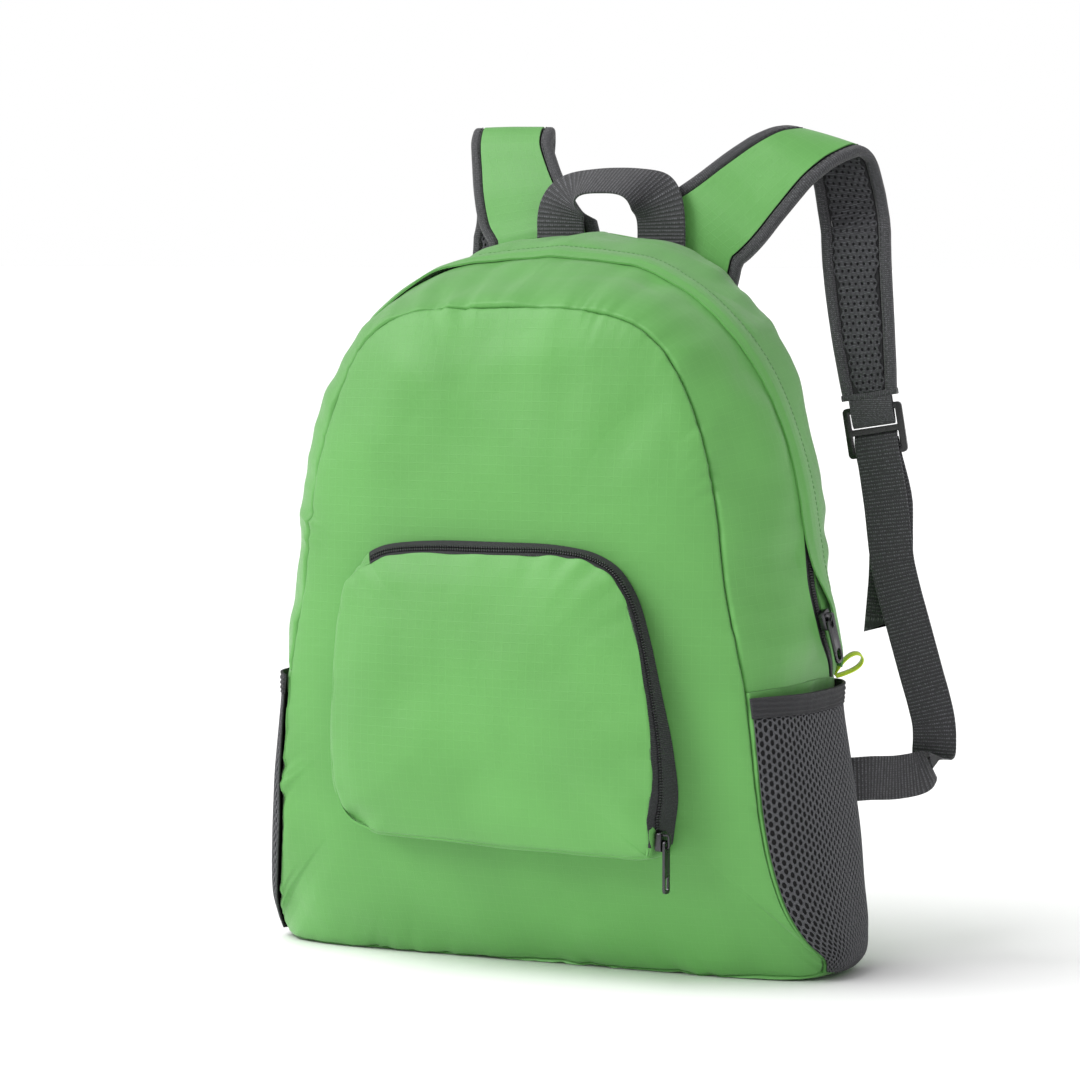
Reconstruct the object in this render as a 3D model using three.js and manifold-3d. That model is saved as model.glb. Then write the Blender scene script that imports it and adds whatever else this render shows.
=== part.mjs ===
// A packable backpack, open and standing: a hollow shell of sewn cloth panels, a two-way main zip under
// a flap, a zipped front pocket that is proud of the front, two open mesh side pockets, a haul handle and
// two padded shoulder straps that fold over backwards and end in ladder locks and webbing.
// Millimetres, +Z up. The front faces -Y and the origin is the centre of the base, on the ground.
import * as THREE from "three";
import Module from "manifold-3d";
import { mergeVertices } from "three/addons/utils/BufferGeometryUtils.js";

// Shell
const bagWidth = 350;
const bagHeight = 408;
const bagDepth = 118; // from the front seam to the back seam
const frontCrown = 14; // how far the front panel stands proud of its seam
const backCrown = 6;
const frontTuck = 24; // how far the front's foot is drawn in under it
const backTuck = 16;
const gussetBulge = 27; // how far the sides swell past the seams
const frontLean = -6; // sideways lean of the front's top
const clothWall = 1.6;
const seamGap = 0.3;
const foldDepth = 4;
const foldClearance = 20; // width round the front pocket that is left without folds
const foldFade = 40;

// Main zip
const zipSlot = 13;
const zipTapeWall = 1.2;
const zipCoilWidth = 5.5;
const zipCoilHeight = 1.5;
const flapWidth = 17;
const flapWall = 1.4;

// Side pockets
const meshWall = 1.2;
const meshStand = 8; // how far the right pocket's mesh stands off the side of the bag
const leftMeshShare = 0.86; // the left pocket's, as a share of it
const elasticWidth = 11;
const elasticWall = 2;

// Front pocket
const pocketWidth = 212;
const pocketHeight = 168;
const pocketBase = 70; // height of its lower edge above the ground
const pocketStand = 27;
const pocketCrown = 4;
const pocketWall = 1.4;
const zipWallSlant = 0.8; // extra gap under the zip's slanting wall, for its thickness
const pocketInset = 9; // how far the zipped edge of its face lies inside its base

// Zip sliders and pullers
const sliderWidth = 8;
const sliderLength = 11;
const sliderHeight = 3.6;
const bailWidth = 2.2;
const bailWire = 1.1;
const bailRoom = 2.7;
const pocketPullerLength = 29;
const pocketPullerWidth = 6;
const mainPullerLength = 26;
const mainPullerWidth = 9;
const pullerWall = 1.4;
const pullerWire = 1.5;
const pullerWindow = 3.9; // long enough to swing past the bail

// Shoulder straps
const strapWidth = 54;
const strapPadWall = 4.4;
const strapSkinWall = 0.8;
const strapBindingWidth = 7;
const strapBindingWall = 6.4;
const bindingGap = 0.8; // from the padding to its binding, wide enough for the tight fold
const strapReach = 58; // height of the fold above the bag
const strapSetback = 40; // how far the fold lies behind the back panel

// Webbing, ladder locks, handle and loop
const webbingWidth = 25;
const webbingWall = 1.6;
const lockWidth = 34;
const lockHeight = 29;
const lockWall = 4.4;
const lockBar = 3.6;
const handleWidth = 30;
const handleWall = 1.7;
const handleSpan = 64; // between the centre lines of its legs
const handleRise = 29;
const handleTilt = 28; // degrees, of the arch's top towards the front
const handleLeg = 14; // length sewn down on the back panel
const handleSquareness = 0.7; // of its arch: 1 is round
const loopWidth = 5;
const loopLength = 19;
const loopWall = 0.9;
const loopLift = 0.8; // of its root off the shell
const loopRootShare = 0.92; // of the band's width, at the zip's lower end
const loopLegGap = 0.5; // between its two legs at the root
const loopOpening = 0.2; // half its width, as a share of its length

const halfWidth = bagWidth / 2;
const tuckHeight = bagHeight / 2;
const frontY = -0.525 * bagDepth;
const backY = 0.475 * bagDepth;

// The shell's seams, from the middle of the base, out to the right corner and up to the top's middle.
// x is a share of half the width, y of the depth and z of the height, f at the front seam and b at the
// back seam; bulge is a share of gussetBulge; zip and flap are shares of the way from front to back.
const seamRows = [
  { fx: 0.0, fy: -0.32, fz: 0.0, bx: 0.0, by: 0.34, bz: 0.0, bulge: 0.0, zip: 0.5, flap: 0.5 },
  { fx: 0.4, fy: -0.32, fz: 0.0, bx: 0.4, by: 0.34, bz: 0.0, bulge: 0.0, zip: 0.5, flap: 0.5 },
  { fx: 0.7, fy: -0.315, fz: 0.0, bx: 0.7, by: 0.335, bz: 0.0, bulge: 0.0, zip: 0.5, flap: 0.5 },
  { fx: 0.885, fy: -0.27, fz: 0.002, bx: 0.87, by: 0.3, bz: 0.002, bulge: 0.0, zip: 0.5, flap: 0.5 },
  { fx: 0.96, fy: -0.19, fz: 0.009, bx: 0.94, by: 0.25, bz: 0.009, bulge: 0.08, zip: 0.5, flap: 0.5 },
  { fx: 0.968, fy: -0.21, fz: 0.027, bx: 0.945, by: 0.28, bz: 0.027, bulge: 0.2, zip: 0.5, flap: 0.5 },
  { fx: 0.937, fy: -0.32, fz: 0.055, bx: 0.915, by: 0.35, bz: 0.055, bulge: 0.32, zip: 0.55, flap: 0.65 },
  { fx: 0.895, fy: -0.42, fz: 0.103, bx: 0.875, by: 0.41, bz: 0.103, bulge: 0.42, zip: 0.6, flap: 0.7 },
  { fx: 0.857, fy: -0.49, fz: 0.184, bx: 0.846, by: 0.45, bz: 0.184, bulge: 0.5, zip: 0.66, flap: 0.76 },
  { fx: 0.84, fy: -0.52, fz: 0.257, bx: 0.823, by: 0.47, bz: 0.257, bulge: 0.47, zip: 0.74, flap: 0.83 },
  { fx: 0.822, fy: -0.525, fz: 0.343, bx: 0.8, by: 0.475, bz: 0.343, bulge: 0.4, zip: 0.74, flap: 0.83 },
  { fx: 0.81, fy: -0.525, fz: 0.39, bx: 0.789, by: 0.475, bz: 0.39, bulge: 0.57, zip: 0.73, flap: 0.82 },
  { fx: 0.783, fy: -0.53, fz: 0.449, bx: 0.766, by: 0.475, bz: 0.449, bulge: 0.89, zip: 0.51, flap: 0.61 },
  { fx: 0.746, fy: -0.53, fz: 0.527, bx: 0.734, by: 0.475, bz: 0.534, bulge: 0.97, zip: 0.45, flap: 0.5 },
  { fx: 0.72, fy: -0.525, fz: 0.625, bx: 0.71, by: 0.475, bz: 0.642, bulge: 1.0, zip: 0.45, flap: 0.43 },
  { fx: 0.68, fy: -0.52, fz: 0.711, bx: 0.68, by: 0.475, bz: 0.735, bulge: 0.9, zip: 0.44, flap: 0.4 },
  { fx: 0.62, fy: -0.51, fz: 0.784, bx: 0.63, by: 0.475, bz: 0.819, bulge: 0.74, zip: 0.42, flap: 0.38 },
  { fx: 0.53, fy: -0.51, fz: 0.848, bx: 0.555, by: 0.475, bz: 0.88, bulge: 0.56, zip: 0.4, flap: 0.36 },
  { fx: 0.42, fy: -0.51, fz: 0.882, bx: 0.45, by: 0.48, bz: 0.932, bulge: 0.43, zip: 0.42, flap: 0.38 },
  { fx: 0.27, fy: -0.51, fz: 0.897, bx: 0.3, by: 0.485, bz: 0.977, bulge: 0.36, zip: 0.45, flap: 0.41 },
  { fx: 0.0, fy: -0.51, fz: 0.902, bx: 0.0, by: 0.49, bz: 1.0, bulge: 0.33, zip: 0.46, flap: 0.42 },
];
const topStation = seamRows.length - 1;
const fullLoop = 2 * topStation;
const cornerStation = 4; // where the base turns up into the sides
const pocketTopStation = 10.9;
const zipEndStation = 11.05;
const sliderStation = 12.25;
const halfStations = [0, 1, 2, 3, 3.5, 4, 4.4, 4.8, 5.3, 6, 7, 8, 9, 10, 11]
  .concat([12, 13, 14, 15, 16, 16.5, 17, 17.5, 18, 18.5, 19, 19.5]);
const panelRings = [0.93, 0.84, 0.72, 0.56, 0.37, 0.17];

// Soft folds of the panels: x is a share of half the width, z of the height, length and width of the
// height, depth of foldDepth, and turn is in degrees from upright.
const frontFolds = [
  { x: -0.52, z: 0.7, turn: -32, length: 0.16, width: 0.035, depth: 0.7 },
  { x: -0.3, z: 0.8, turn: -58, length: 0.13, width: 0.03, depth: 0.6 },
  { x: 0.42, z: 0.74, turn: 30, length: 0.15, width: 0.035, depth: -0.6 },
  { x: 0.1, z: 0.84, turn: 80, length: 0.16, width: 0.03, depth: 0.45 },
  { x: 0.62, z: 0.5, turn: 8, length: 0.16, width: 0.04, depth: 0.6 },
  { x: -0.7, z: 0.36, turn: 12, length: 0.15, width: 0.035, depth: 0.8 },
  { x: 0.72, z: 0.2, turn: -20, length: 0.1, width: 0.04, depth: -0.7 },
  { x: -0.5, z: 0.1, turn: 70, length: 0.14, width: 0.03, depth: 0.6 },
  { x: 0.3, z: 0.09, turn: 96, length: 0.16, width: 0.028, depth: -0.6 },
];
const backFolds = [
  { x: -0.4, z: 0.6, turn: -25, length: 0.18, width: 0.04, depth: 0.7 },
  { x: 0.38, z: 0.55, turn: 22, length: 0.2, width: 0.04, depth: 0.6 },
  { x: 0.0, z: 0.3, turn: 88, length: 0.2, width: 0.045, depth: -0.6 },
  { x: 0.55, z: 0.2, turn: -40, length: 0.13, width: 0.035, depth: 0.7 },
  { x: -0.55, z: 0.2, turn: 38, length: 0.13, width: 0.035, depth: 0.7 },
];

// The front pocket's outline, once round from its lower right corner, up the right side, over the top
// and down the left. x is a share of half its width, z of its height, stand of pocketStand and inset of
// pocketInset.
const pocketRows = [
  { x: 0.897, z: 0.01, stand: 0.95, inset: 0.6 },
  { x: 0.945, z: 0.1, stand: 1.0, inset: 0.66 },
  { x: 0.968, z: 0.21, stand: 0.98, inset: 0.5 },
  { x: 0.95, z: 0.34, stand: 0.88, inset: 0.28 },
  { x: 0.895, z: 0.52, stand: 0.73, inset: 0.1 },
  { x: 0.83, z: 0.7, stand: 0.6, inset: 0.05 },
  { x: 0.757, z: 0.84, stand: 0.52, inset: 0.12 },
  { x: 0.635, z: 0.94, stand: 0.46, inset: 0.3 },
  { x: 0.455, z: 0.985, stand: 0.43, inset: 0.5 },
  { x: 0.18, z: 1.0, stand: 0.41, inset: 0.66 },
  { x: -0.26, z: 1.0, stand: 0.39, inset: 0.75 },
  { x: -0.63, z: 0.985, stand: 0.37, inset: 0.8 },
  { x: -0.8, z: 0.95, stand: 0.36, inset: 0.9 },
  { x: -0.9, z: 0.87, stand: 0.36, inset: 1.0 },
  { x: -0.955, z: 0.75, stand: 0.38, inset: 1.0 },
  { x: -0.99, z: 0.5, stand: 0.44, inset: 1.0 },
  { x: -1.0, z: 0.28, stand: 0.5, inset: 1.0 },
  { x: -0.97, z: 0.13, stand: 0.54, inset: 1.0 },
  { x: -0.87, z: 0.045, stand: 0.58, inset: 1.0 },
  { x: -0.68, z: 0.015, stand: 0.62, inset: 1.0 },
  { x: -0.24, z: 0.005, stand: 0.7, inset: 1.0 },
  { x: 0.4, z: 0.0, stand: 0.84, inset: 1.0 },
  { x: 0.77, z: -0.005, stand: 0.93, inset: 0.8 },
];
const pocketZipFrom = 0.4; // in rows of the outline
const pocketZipTo = 12;
const pocketSliderRow = 0.6;

// The shoulder straps' centre lines, from the back panel over the fold to the ladder lock. x is a share
// of half the bag's width; back is a share of strapSetback behind the back panel; z is a share of the
// bag's height up to 1 and past it of strapReach; width is a share of strapWidth; yaw and roll turn the
// strap's width from +X towards +Y and towards +Z, in degrees.
const rightStrapRows = [
  { x: 0.195, back: 0.0, z: 0.912, width: 1.25, yaw: 0, roll: -33 },
  { x: 0.27, back: 0.12, z: 0.955, width: 1.2, yaw: 0, roll: -36 },
  { x: 0.379, back: 0.2, z: 1.16, width: 1.11, yaw: -4, roll: -39 },
  { x: 0.461, back: 0.42, z: 1.43, width: 1.0, yaw: -6, roll: -40 },
  { x: 0.555, back: 0.56, z: 1.7, width: 0.89, yaw: -5, roll: -33 },
  { x: 0.62, back: 0.8, z: 1.84, width: 0.84, yaw: -2, roll: -25 },
  { x: 0.663, back: 1.05, z: 1.88, width: 0.82, yaw: 0, roll: -17 },
  { x: 0.69, back: 1.27, z: 1.74, width: 0.8, yaw: 3, roll: -10 },
  { x: 0.715, back: 1.3, z: 1.45, width: 0.78, yaw: 6, roll: -4 },
  { x: 0.743, back: 1.2, z: 1.15, width: 0.77, yaw: 8, roll: 0 },
  { x: 0.77, back: 1.04, z: 0.954, width: 0.74, yaw: 10, roll: 2 },
  { x: 0.79, back: 1.03, z: 0.869, width: 0.69, yaw: 12, roll: 3 },
  { x: 0.808, back: 1.05, z: 0.8, width: 0.62, yaw: 13, roll: 6 },
  { x: 0.816, back: 1.06, z: 0.771, width: 0.58, yaw: 13, roll: 9 },
];
const leftStrapRows = [
  { x: -0.217, back: 0.0, z: 0.912, width: 1.36, yaw: 0, roll: 12 },
  { x: -0.251, back: 0.1, z: 0.961, width: 1.33, yaw: 0, roll: 12 },
  { x: -0.32, back: 0.22, z: 1.1, width: 1.24, yaw: 0, roll: 9 },
  { x: -0.377, back: 0.36, z: 1.4, width: 1.12, yaw: 0, roll: 6 },
  { x: -0.417, back: 0.53, z: 1.66, width: 1.03, yaw: 0, roll: 3 },
  { x: -0.446, back: 0.68, z: 1.88, width: 0.98, yaw: 0, roll: 1 },
  { x: -0.457, back: 0.86, z: 2.0, width: 0.98, yaw: 0, roll: 0 },
  { x: -0.474, back: 1.03, z: 1.93, width: 0.97, yaw: 0, roll: 0 },
  { x: -0.484, back: 1.11, z: 1.67, width: 0.94, yaw: -2, roll: 2 },
  { x: -0.49, back: 1.1, z: 1.2, width: 0.9, yaw: -4, roll: 4 },
  { x: -0.52, back: 1.08, z: 0.95, width: 0.85, yaw: -6, roll: 8 },
  { x: -0.6, back: 1.08, z: 0.87, width: 0.78, yaw: -8, roll: 12 },
  { x: -0.69, back: 1.08, z: 0.805, width: 0.67, yaw: -10, roll: 10 },
  { x: -0.735, back: 1.09, z: 0.771, width: 0.62, yaw: -10, roll: 6 },
];

// The webbing, from the ladder lock down to its sewn end low on the back panel, in the same columns.
const rightWebbingRows = [
  { x: 0.868, back: 1.22, z: 0.61, yaw: 22, roll: 5 },
  { x: 0.885, back: 1.26, z: 0.54, yaw: 24, roll: 4 },
  { x: 0.93, back: 1.32, z: 0.46, yaw: 25, roll: 8 },
  { x: 0.98, back: 1.38, z: 0.38, yaw: 28, roll: 14 },
  { x: 1.02, back: 1.4, z: 0.315, yaw: 34, roll: 26 },
  { x: 1.03, back: 1.28, z: 0.268, yaw: 48, roll: 52 },
  { x: 1.0, back: 1.02, z: 0.247, yaw: 62, roll: 76 },
  { x: 0.95, back: 0.66, z: 0.244, yaw: 60, roll: 84 },
  { x: 0.9, back: 0.3, z: 0.246, yaw: 40, roll: 87 },
  { x: 0.85, back: 0.1, z: 0.245, yaw: 20, roll: 88 },
  { x: 0.78, back: 0.01, z: 0.242, yaw: 10, roll: 88 },
  { x: 0.7, back: 0.0, z: 0.24, yaw: 10, roll: 88 },
];
const rightTailRows = [
  { x: 0.87, back: 1.36, z: 0.62, yaw: 20, roll: 4 },
  { x: 0.86, back: 1.48, z: 0.53, yaw: 20, roll: -2 },
  { x: 0.84, back: 1.54, z: 0.45, yaw: 18, roll: -8 },
];

const wasm = await Module();
wasm.setup();

/** Turns a table's column into a smooth curve of the row number that never overshoots its rows. */
function smoothColumn(rows, name, mirrored = false) {
  const values = rows.map((row) => row[name]);
  const last = values.length - 1;
  const steps = values.slice(1).map((value, i) => value - values[i]);
  const slopes = values.map((_, i) => {
    if (i === 0) return mirrored ? 0 : steps[0];
    if (i === last) return mirrored ? 0 : steps[last - 1];
    const before = steps[i - 1];
    const after = steps[i];
    return before * after <= 0 ? 0 : (2 * before * after) / (before + after);
  });
  return (at) => {
    const i = Math.min(Math.max(Math.floor(at), 0), last - 1);
    const t = Math.min(Math.max(at, 0), last) - i;
    const [t2, t3] = [t * t, t * t * t];
    return (
      (2 * t3 - 3 * t2 + 1) * values[i] +
      (t3 - 2 * t2 + t) * slopes[i] +
      (3 * t2 - 2 * t3) * values[i + 1] +
      (t3 - t2) * slopes[i + 1]
    );
  };
}

/** Curves of every column of a table. */
function smoothTable(rows, mirrored = false) {
  const curves = {};
  for (const name of Object.keys(rows[0])) curves[name] = smoothColumn(rows, name, mirrored);
  return curves;
}

const seams = smoothTable(seamRows, true);

/** A loop station's row number and its side: 1 on the right, -1 on the left. */
function mirroredStation(s) {
  const wrapped = ((s % fullLoop) + fullLoop) % fullLoop;
  return wrapped <= topStation ? [wrapped, 1] : [fullLoop - wrapped, -1];
}

/** A point of the front or back seam. */
function seamPoint(end, s) {
  const [row, side] = mirroredStation(s);
  const z = seams[end + "z"](row);
  const lean = end === "f" ? frontLean * z : 0;
  return new THREE.Vector3(
    side * seams[end + "x"](row) * halfWidth + lean,
    seams[end + "y"](row) * bagDepth,
    z * bagHeight,
  );
}

/** The direction out of the bag, across the seams, at a station. */
function outward(s) {
  const step = 0.05;
  const along = seamPoint("f", s + step).add(seamPoint("b", s + step));
  along.sub(seamPoint("f", s - step)).sub(seamPoint("b", s - step));
  return new THREE.Vector3(along.z, 0, -along.x).normalize();
}

/** A point of the swelling band between the seams: g runs from 0 at the front to 1 at the back. */
function bandPoint(s, g) {
  const [row] = mirroredStation(s);
  const hump = 1 - Math.abs(2 * g - 1) ** 2.6;
  const point = seamPoint("f", s).lerp(seamPoint("b", s), g);
  return point.addScaledVector(outward(s), seams.bulge(row) * gussetBulge * hump);
}

/** How far a place is clear of the front pocket: 0 on it and 1 a hand's breadth away. */
function clearOfPocket(x, z) {
  const aside = Math.abs(x) - pocketWidth / 2;
  const above = Math.abs(z - pocketBase - pocketHeight / 2) - pocketHeight / 2;
  const away = Math.min(1, Math.max(0, (Math.max(aside, above) - foldClearance) / foldFade));
  return away * away * (3 - 2 * away);
}

/** How far soft folds push a panel out at a place. */
function foldHeight(folds, x, z) {
  let height = 0;
  for (const fold of folds) {
    const dx = x - fold.x * halfWidth;
    const dz = z - fold.z * bagHeight;
    const turn = THREE.MathUtils.degToRad(fold.turn);
    const along = (dx * Math.sin(turn) + dz * Math.cos(turn)) / (fold.length * bagHeight);
    const across = (dx * Math.cos(turn) - dz * Math.sin(turn)) / (fold.width * bagHeight);
    height += fold.depth * foldDepth * Math.exp(-along * along - across * across);
  }
  return height;
}

const panels = {
  front: {
    end: "f",
    out: -1,
    dome: frontCrown,
    crown: frontY - frontCrown,
    tuck: frontTuck,
    folds: frontFolds,
    foldShare: clearOfPocket,
  },
  back: {
    end: "b",
    out: 1,
    dome: backCrown,
    crown: backY + backCrown,
    tuck: backTuck,
    folds: backFolds,
    foldShare: () => 1,
  },
};
const panelCentre = new THREE.Vector2(0, 0.47 * bagHeight);
const panelCurve = 4; // power of the dome's fall from its middle to its seam
const seamCurve = 12; // power of the last bend on to the seam itself
const ringWidth = 0.82 * halfWidth; // half width and half height of the rings near the middle
const ringHeight = 0.46 * bagHeight;

/** How much nearer the middle a ring runs than the seam's shape scaled down: it rounds off towards it. */
function ringShare(edge, r) {
  const [dx, dz] = [edge.x, edge.z - panelCentre.y];
  const reach = Math.hypot(dx, dz);
  const round = 1 / Math.hypot(dx / reach / ringWidth, dz / reach / ringHeight);
  const shape = r * r;
  return r * (shape + (1 - shape) * Math.min(1, round / reach));
}

/** A point of the front or back panel, r from 0 at its middle to 1 at its seam. */
function panelPoint(panel, s, r) {
  const edge = seamPoint(panel.end, s);
  const share = ringShare(edge, r);
  const x = edge.x * share;
  const z = panelCentre.y + (edge.z - panelCentre.y) * share;
  const fold = foldHeight(panel.folds, x, z) * (1 - r ** 6) * panel.foldShare(x, z);
  const under = (height) => panel.tuck * Math.max(0, 1 - height / tuckHeight) ** 3;
  const seamLoss = (panel.crown - edge.y) * panel.out;
  const rest = seamLoss - panel.dome - under(edge.z);
  const loss = panel.dome * r ** panelCurve + under(z) + rest * r ** seamCurve;
  return new THREE.Vector3(x, panel.crown + panel.out * (fold - loss), z);
}

/** How deep a panel's outer face lies at a place in front or back view. */
function panelDepth(panel, x, z) {
  const target = Math.atan2(x, z - panelCentre.y);
  let low = 0;
  let high = fullLoop;
  const turnOf = (s) => {
    const p = seamPoint(panel.end, s);
    return Math.atan2(p.x, p.z - panelCentre.y);
  };
  if (target >= 0) high = topStation;
  else low = topStation;
  for (let i = 0; i < 40; i += 1) {
    const middle = (low + high) / 2;
    const turn = turnOf(middle);
    if (turn < target) high = middle;
    else low = middle;
  }
  const edge = seamPoint(panel.end, low);
  const wanted = Math.hypot(x, z - panelCentre.y) / Math.hypot(edge.x, edge.z - panelCentre.y);
  let [inside, outside] = [0, 1];
  for (let i = 0; i < 30; i += 1) {
    const middle = (inside + outside) / 2;
    if (ringShare(edge, middle) < wanted) inside = middle;
    else outside = middle;
  }
  return panelPoint(panel, low, inside).y;
}

/** The normal of a surface given as a function of two numbers. */
function normalOf(surface, u, v, du, dv) {
  const alongU = surface(u + du, v).sub(surface(u - du, v));
  const alongV = surface(u, v + dv).sub(surface(u, v - dv));
  return alongU.cross(alongV).normalize();
}

/** The offset that keeps one wall thickness from both of two faces that meet. */
function mitre(a, b) {
  return a.clone().add(b).divideScalar(1 + a.dot(b));
}

/** Closes two matching grids of points, one on each face of a wall, into one solid. */
function wallGeometry(outer, inner, { round = false, domed = false } = {}) {
  const rows = outer.length;
  const columns = outer[0].length;
  const points = [...outer.flat(), ...inner.flat()];
  const at = (face, i, j) => face * rows * columns + (i % rows) * columns + j;
  const faces = [];
  const quad = (a, b, c, d) => faces.push(a, b, c, a, c, d);
  const lastRow = round ? rows : rows - 1;
  for (let i = 0; i < lastRow; i += 1) {
    for (let j = 0; j < columns - 1; j += 1) {
      quad(at(0, i, j), at(0, i + 1, j), at(0, i + 1, j + 1), at(0, i, j + 1));
      quad(at(1, i, j), at(1, i, j + 1), at(1, i + 1, j + 1), at(1, i + 1, j));
    }
    quad(at(0, i, 0), at(1, i, 0), at(1, i + 1, 0), at(0, i + 1, 0));
    if (!domed) {
      const j = columns - 1;
      quad(at(0, i, j), at(0, i + 1, j), at(1, i + 1, j), at(1, i, j));
    }
  }
  if (domed) {
    for (const face of [0, 1]) {
      const middle = new THREE.Vector3();
      for (let i = 0; i < rows; i += 1) middle.addScaledVector(points[at(face, i, columns - 1)], 1 / rows);
      points.push(middle);
      for (let i = 0; i < rows; i += 1) {
        const [a, b] = [at(face, i, columns - 1), at(face, i + 1, columns - 1)];
        faces.push(...(face === 0 ? [a, b, points.length - 1] : [b, a, points.length - 1]));
      }
    }
  }
  if (!round) {
    for (let j = 0; j < columns - 1; j += 1) {
      quad(at(0, 0, j), at(0, 0, j + 1), at(1, 0, j + 1), at(1, 0, j));
      quad(at(0, rows - 1, j), at(1, rows - 1, j), at(1, rows - 1, j + 1), at(0, rows - 1, j + 1));
    }
  }
  return facingOut(points, faces);
}

/** An indexed geometry whose faces point out of it. */
function facingOut(points, faces) {
  let volume = 0;
  for (let i = 0; i < faces.length; i += 3) {
    const [a, b, c] = [points[faces[i]], points[faces[i + 1]], points[faces[i + 2]]];
    volume += a.dot(b.clone().cross(c));
  }
  if (volume < 0) {
    for (let i = 0; i < faces.length; i += 3) [faces[i], faces[i + 1]] = [faces[i + 1], faces[i]];
  }
  const geometry = new THREE.BufferGeometry().setFromPoints(points);
  geometry.setIndex(faces);
  geometry.computeVertexNormals();
  return geometry;
}

/** The front or back panel: rings from its seam to a domed middle. */
function panelGeometry(panel) {
  const edgeShare = seamGap / 2 / halfWidth;
  const surface = (s, r) => panelPoint(panel, s, r);
  const rings = [1 - edgeShare, ...panelRings];
  const bandEdge = panel.end === "f" ? 0 : 1;
  const outer = loopStations().map((s) => rings.map((r) => surface(s, r)));
  const inner = loopStations().map((s, i) =>
    rings.map((r, j) => {
      const own = normalOf(surface, s, r, 0.02, 0.004);
      if (own.y * panel.out < 0) own.negate();
      const offset = j === 0 ? mitre(own, bandNormal(s, bandEdge)) : own;
      return outer[i][j].clone().addScaledVector(offset, -clothWall);
    }),
  );
  return wallGeometry(outer, inner, { round: true, domed: true });
}

/** The outward normal of the band between the seams. */
function bandNormal(s, g) {
  const inside = Math.min(Math.max(g, 0.004), 0.996);
  const normal = normalOf(bandPoint, s, inside, 0.02, 0.004);
  const out = outward(s);
  return normal.dot(out) < 0 ? normal.negate() : normal;
}

/** The mitred offset at the band's two seams, or its own normal between them. */
function bandOffset(s, g) {
  const own = bandNormal(s, g);
  if (g > 0.01 && g < 0.99) return own;
  const panel = g < 0.5 ? panels.front : panels.back;
  const face = normalOf((a, r) => panelPoint(panel, a, r), s, 1 - seamGap / 2 / halfWidth, 0.02, 0.004);
  if (face.y * panel.out < 0) face.negate();
  return mitre(face, own);
}

/** Every station of the whole loop, once round. */
function loopStations() {
  const left = halfStations.slice(1).map((s) => fullLoop - s).reverse();
  return [...halfStations, topStation, ...left];
}

/** The stations from one to another, ends drawn in by half a seam gap. */
function stationsBetween(from, to) {
  const inset = 0.004;
  const all = [...loopStations(), ...loopStations().map((s) => s - fullLoop)].sort((a, b) => a - b);
  const inside = all.filter((s) => s > from + 0.05 && s < to - 0.05);
  return [from + inset, ...inside, to - inset];
}

const bandReach = bagDepth + gussetBulge; // the band's length from seam to seam, nearly

/** A piece of the band: a sheet over some stations, from one share to another, lifted off the shell. */
function bandSheet({ from, to, shares, wall, lift = () => 0, mitred = true }) {
  const stations = stationsBetween(from, to);
  const grid = (above) =>
    stations.map((s) =>
      shares(s).map((g, j) => {
        const offset = mitred ? bandOffset(s, g) : bandNormal(s, g);
        return bandPoint(s, g).addScaledVector(offset, lift(s, g, j) + above);
      }),
    );
  return wallGeometry(grid(0), grid(-wall));
}

/** Evenly spaced shares from one to another. */
function spread(from, to, count) {
  return Array.from({ length: count + 1 }, (_, i) => from + ((to - from) * i) / count);
}

const edgeShare = seamGap / 2 / bagDepth;
const zipAt = (s) => seams.zip(mirroredStation(s)[0]);
const flapAt = (s) => seams.flap(mirroredStation(s)[0]);
const slotHalf = zipSlot / 2 / bandReach;
const zipFrom = zipEndStation;
const zipTo = fullLoop - zipEndStation;

const frontGusset = () =>
  bandSheet({
    from: zipFrom,
    to: zipTo,
    shares: (s) => spread(edgeShare, zipAt(s) - slotHalf, 4),
    wall: clothWall,
  });

const backGusset = () =>
  bandSheet({
    from: zipFrom,
    to: zipTo,
    shares: (s) => spread(zipAt(s) + slotHalf, 1 - edgeShare, 4),
    wall: clothWall,
  });

/** The zip's tape, sunk a little in its slot, with its coil as a ridge down the middle. */
function mainZipTape() {
  const coil = zipCoilWidth / 2 / bandReach;
  const gap = seamGap / bandReach;
  const sunk = 0.4;
  return bandSheet({
    from: zipFrom,
    to: zipTo,
    shares: (s) => {
      const [z, half] = [zipAt(s), slotHalf - gap];
      return [z - half, z - coil * 1.3, z - coil, z + coil, z + coil * 1.3, z + half];
    },
    wall: zipTapeWall,
    lift: (s, g, j) => (j === 2 || j === 3 ? zipCoilHeight - sunk : -sunk),
    mitred: false,
  });
}

/** The flap over the zip: sewn down along its back edge and free along its front edge. */
function zipFlap() {
  const lifts = [zipCoilHeight + 2.2, zipCoilHeight + 2, zipCoilHeight + 1, 0.8];
  return bandSheet({
    from: zipFrom + 0.2,
    to: zipTo - 0.2,
    shares: (s) => spread(flapAt(s), flapAt(s) + flapWidth / bandReach, 3),
    wall: flapWall,
    lift: (s, g, j) => lifts[j] + flapWall,
    mitred: false,
  });
}

const bottomPanel = () =>
  bandSheet({
    from: -cornerStation,
    to: cornerStation,
    shares: () => spread(edgeShare, 1 - edgeShare, 4),
    wall: clothWall,
  });

/** The cloth behind a side pocket, from the base's corner up to the end of the zip. */
function sideBase(side) {
  return bandSheet({
    ...sideSpan(side, cornerStation, zipEndStation),
    shares: () => spread(edgeShare, 1 - edgeShare, 7),
    wall: clothWall,
  });
}

/** Stations of a span on the right side, or of its mirror image on the left. */
function sideSpan(side, from, to) {
  return side > 0 ? { from, to } : { from: fullLoop - to, to: fullLoop - from };
}

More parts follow.
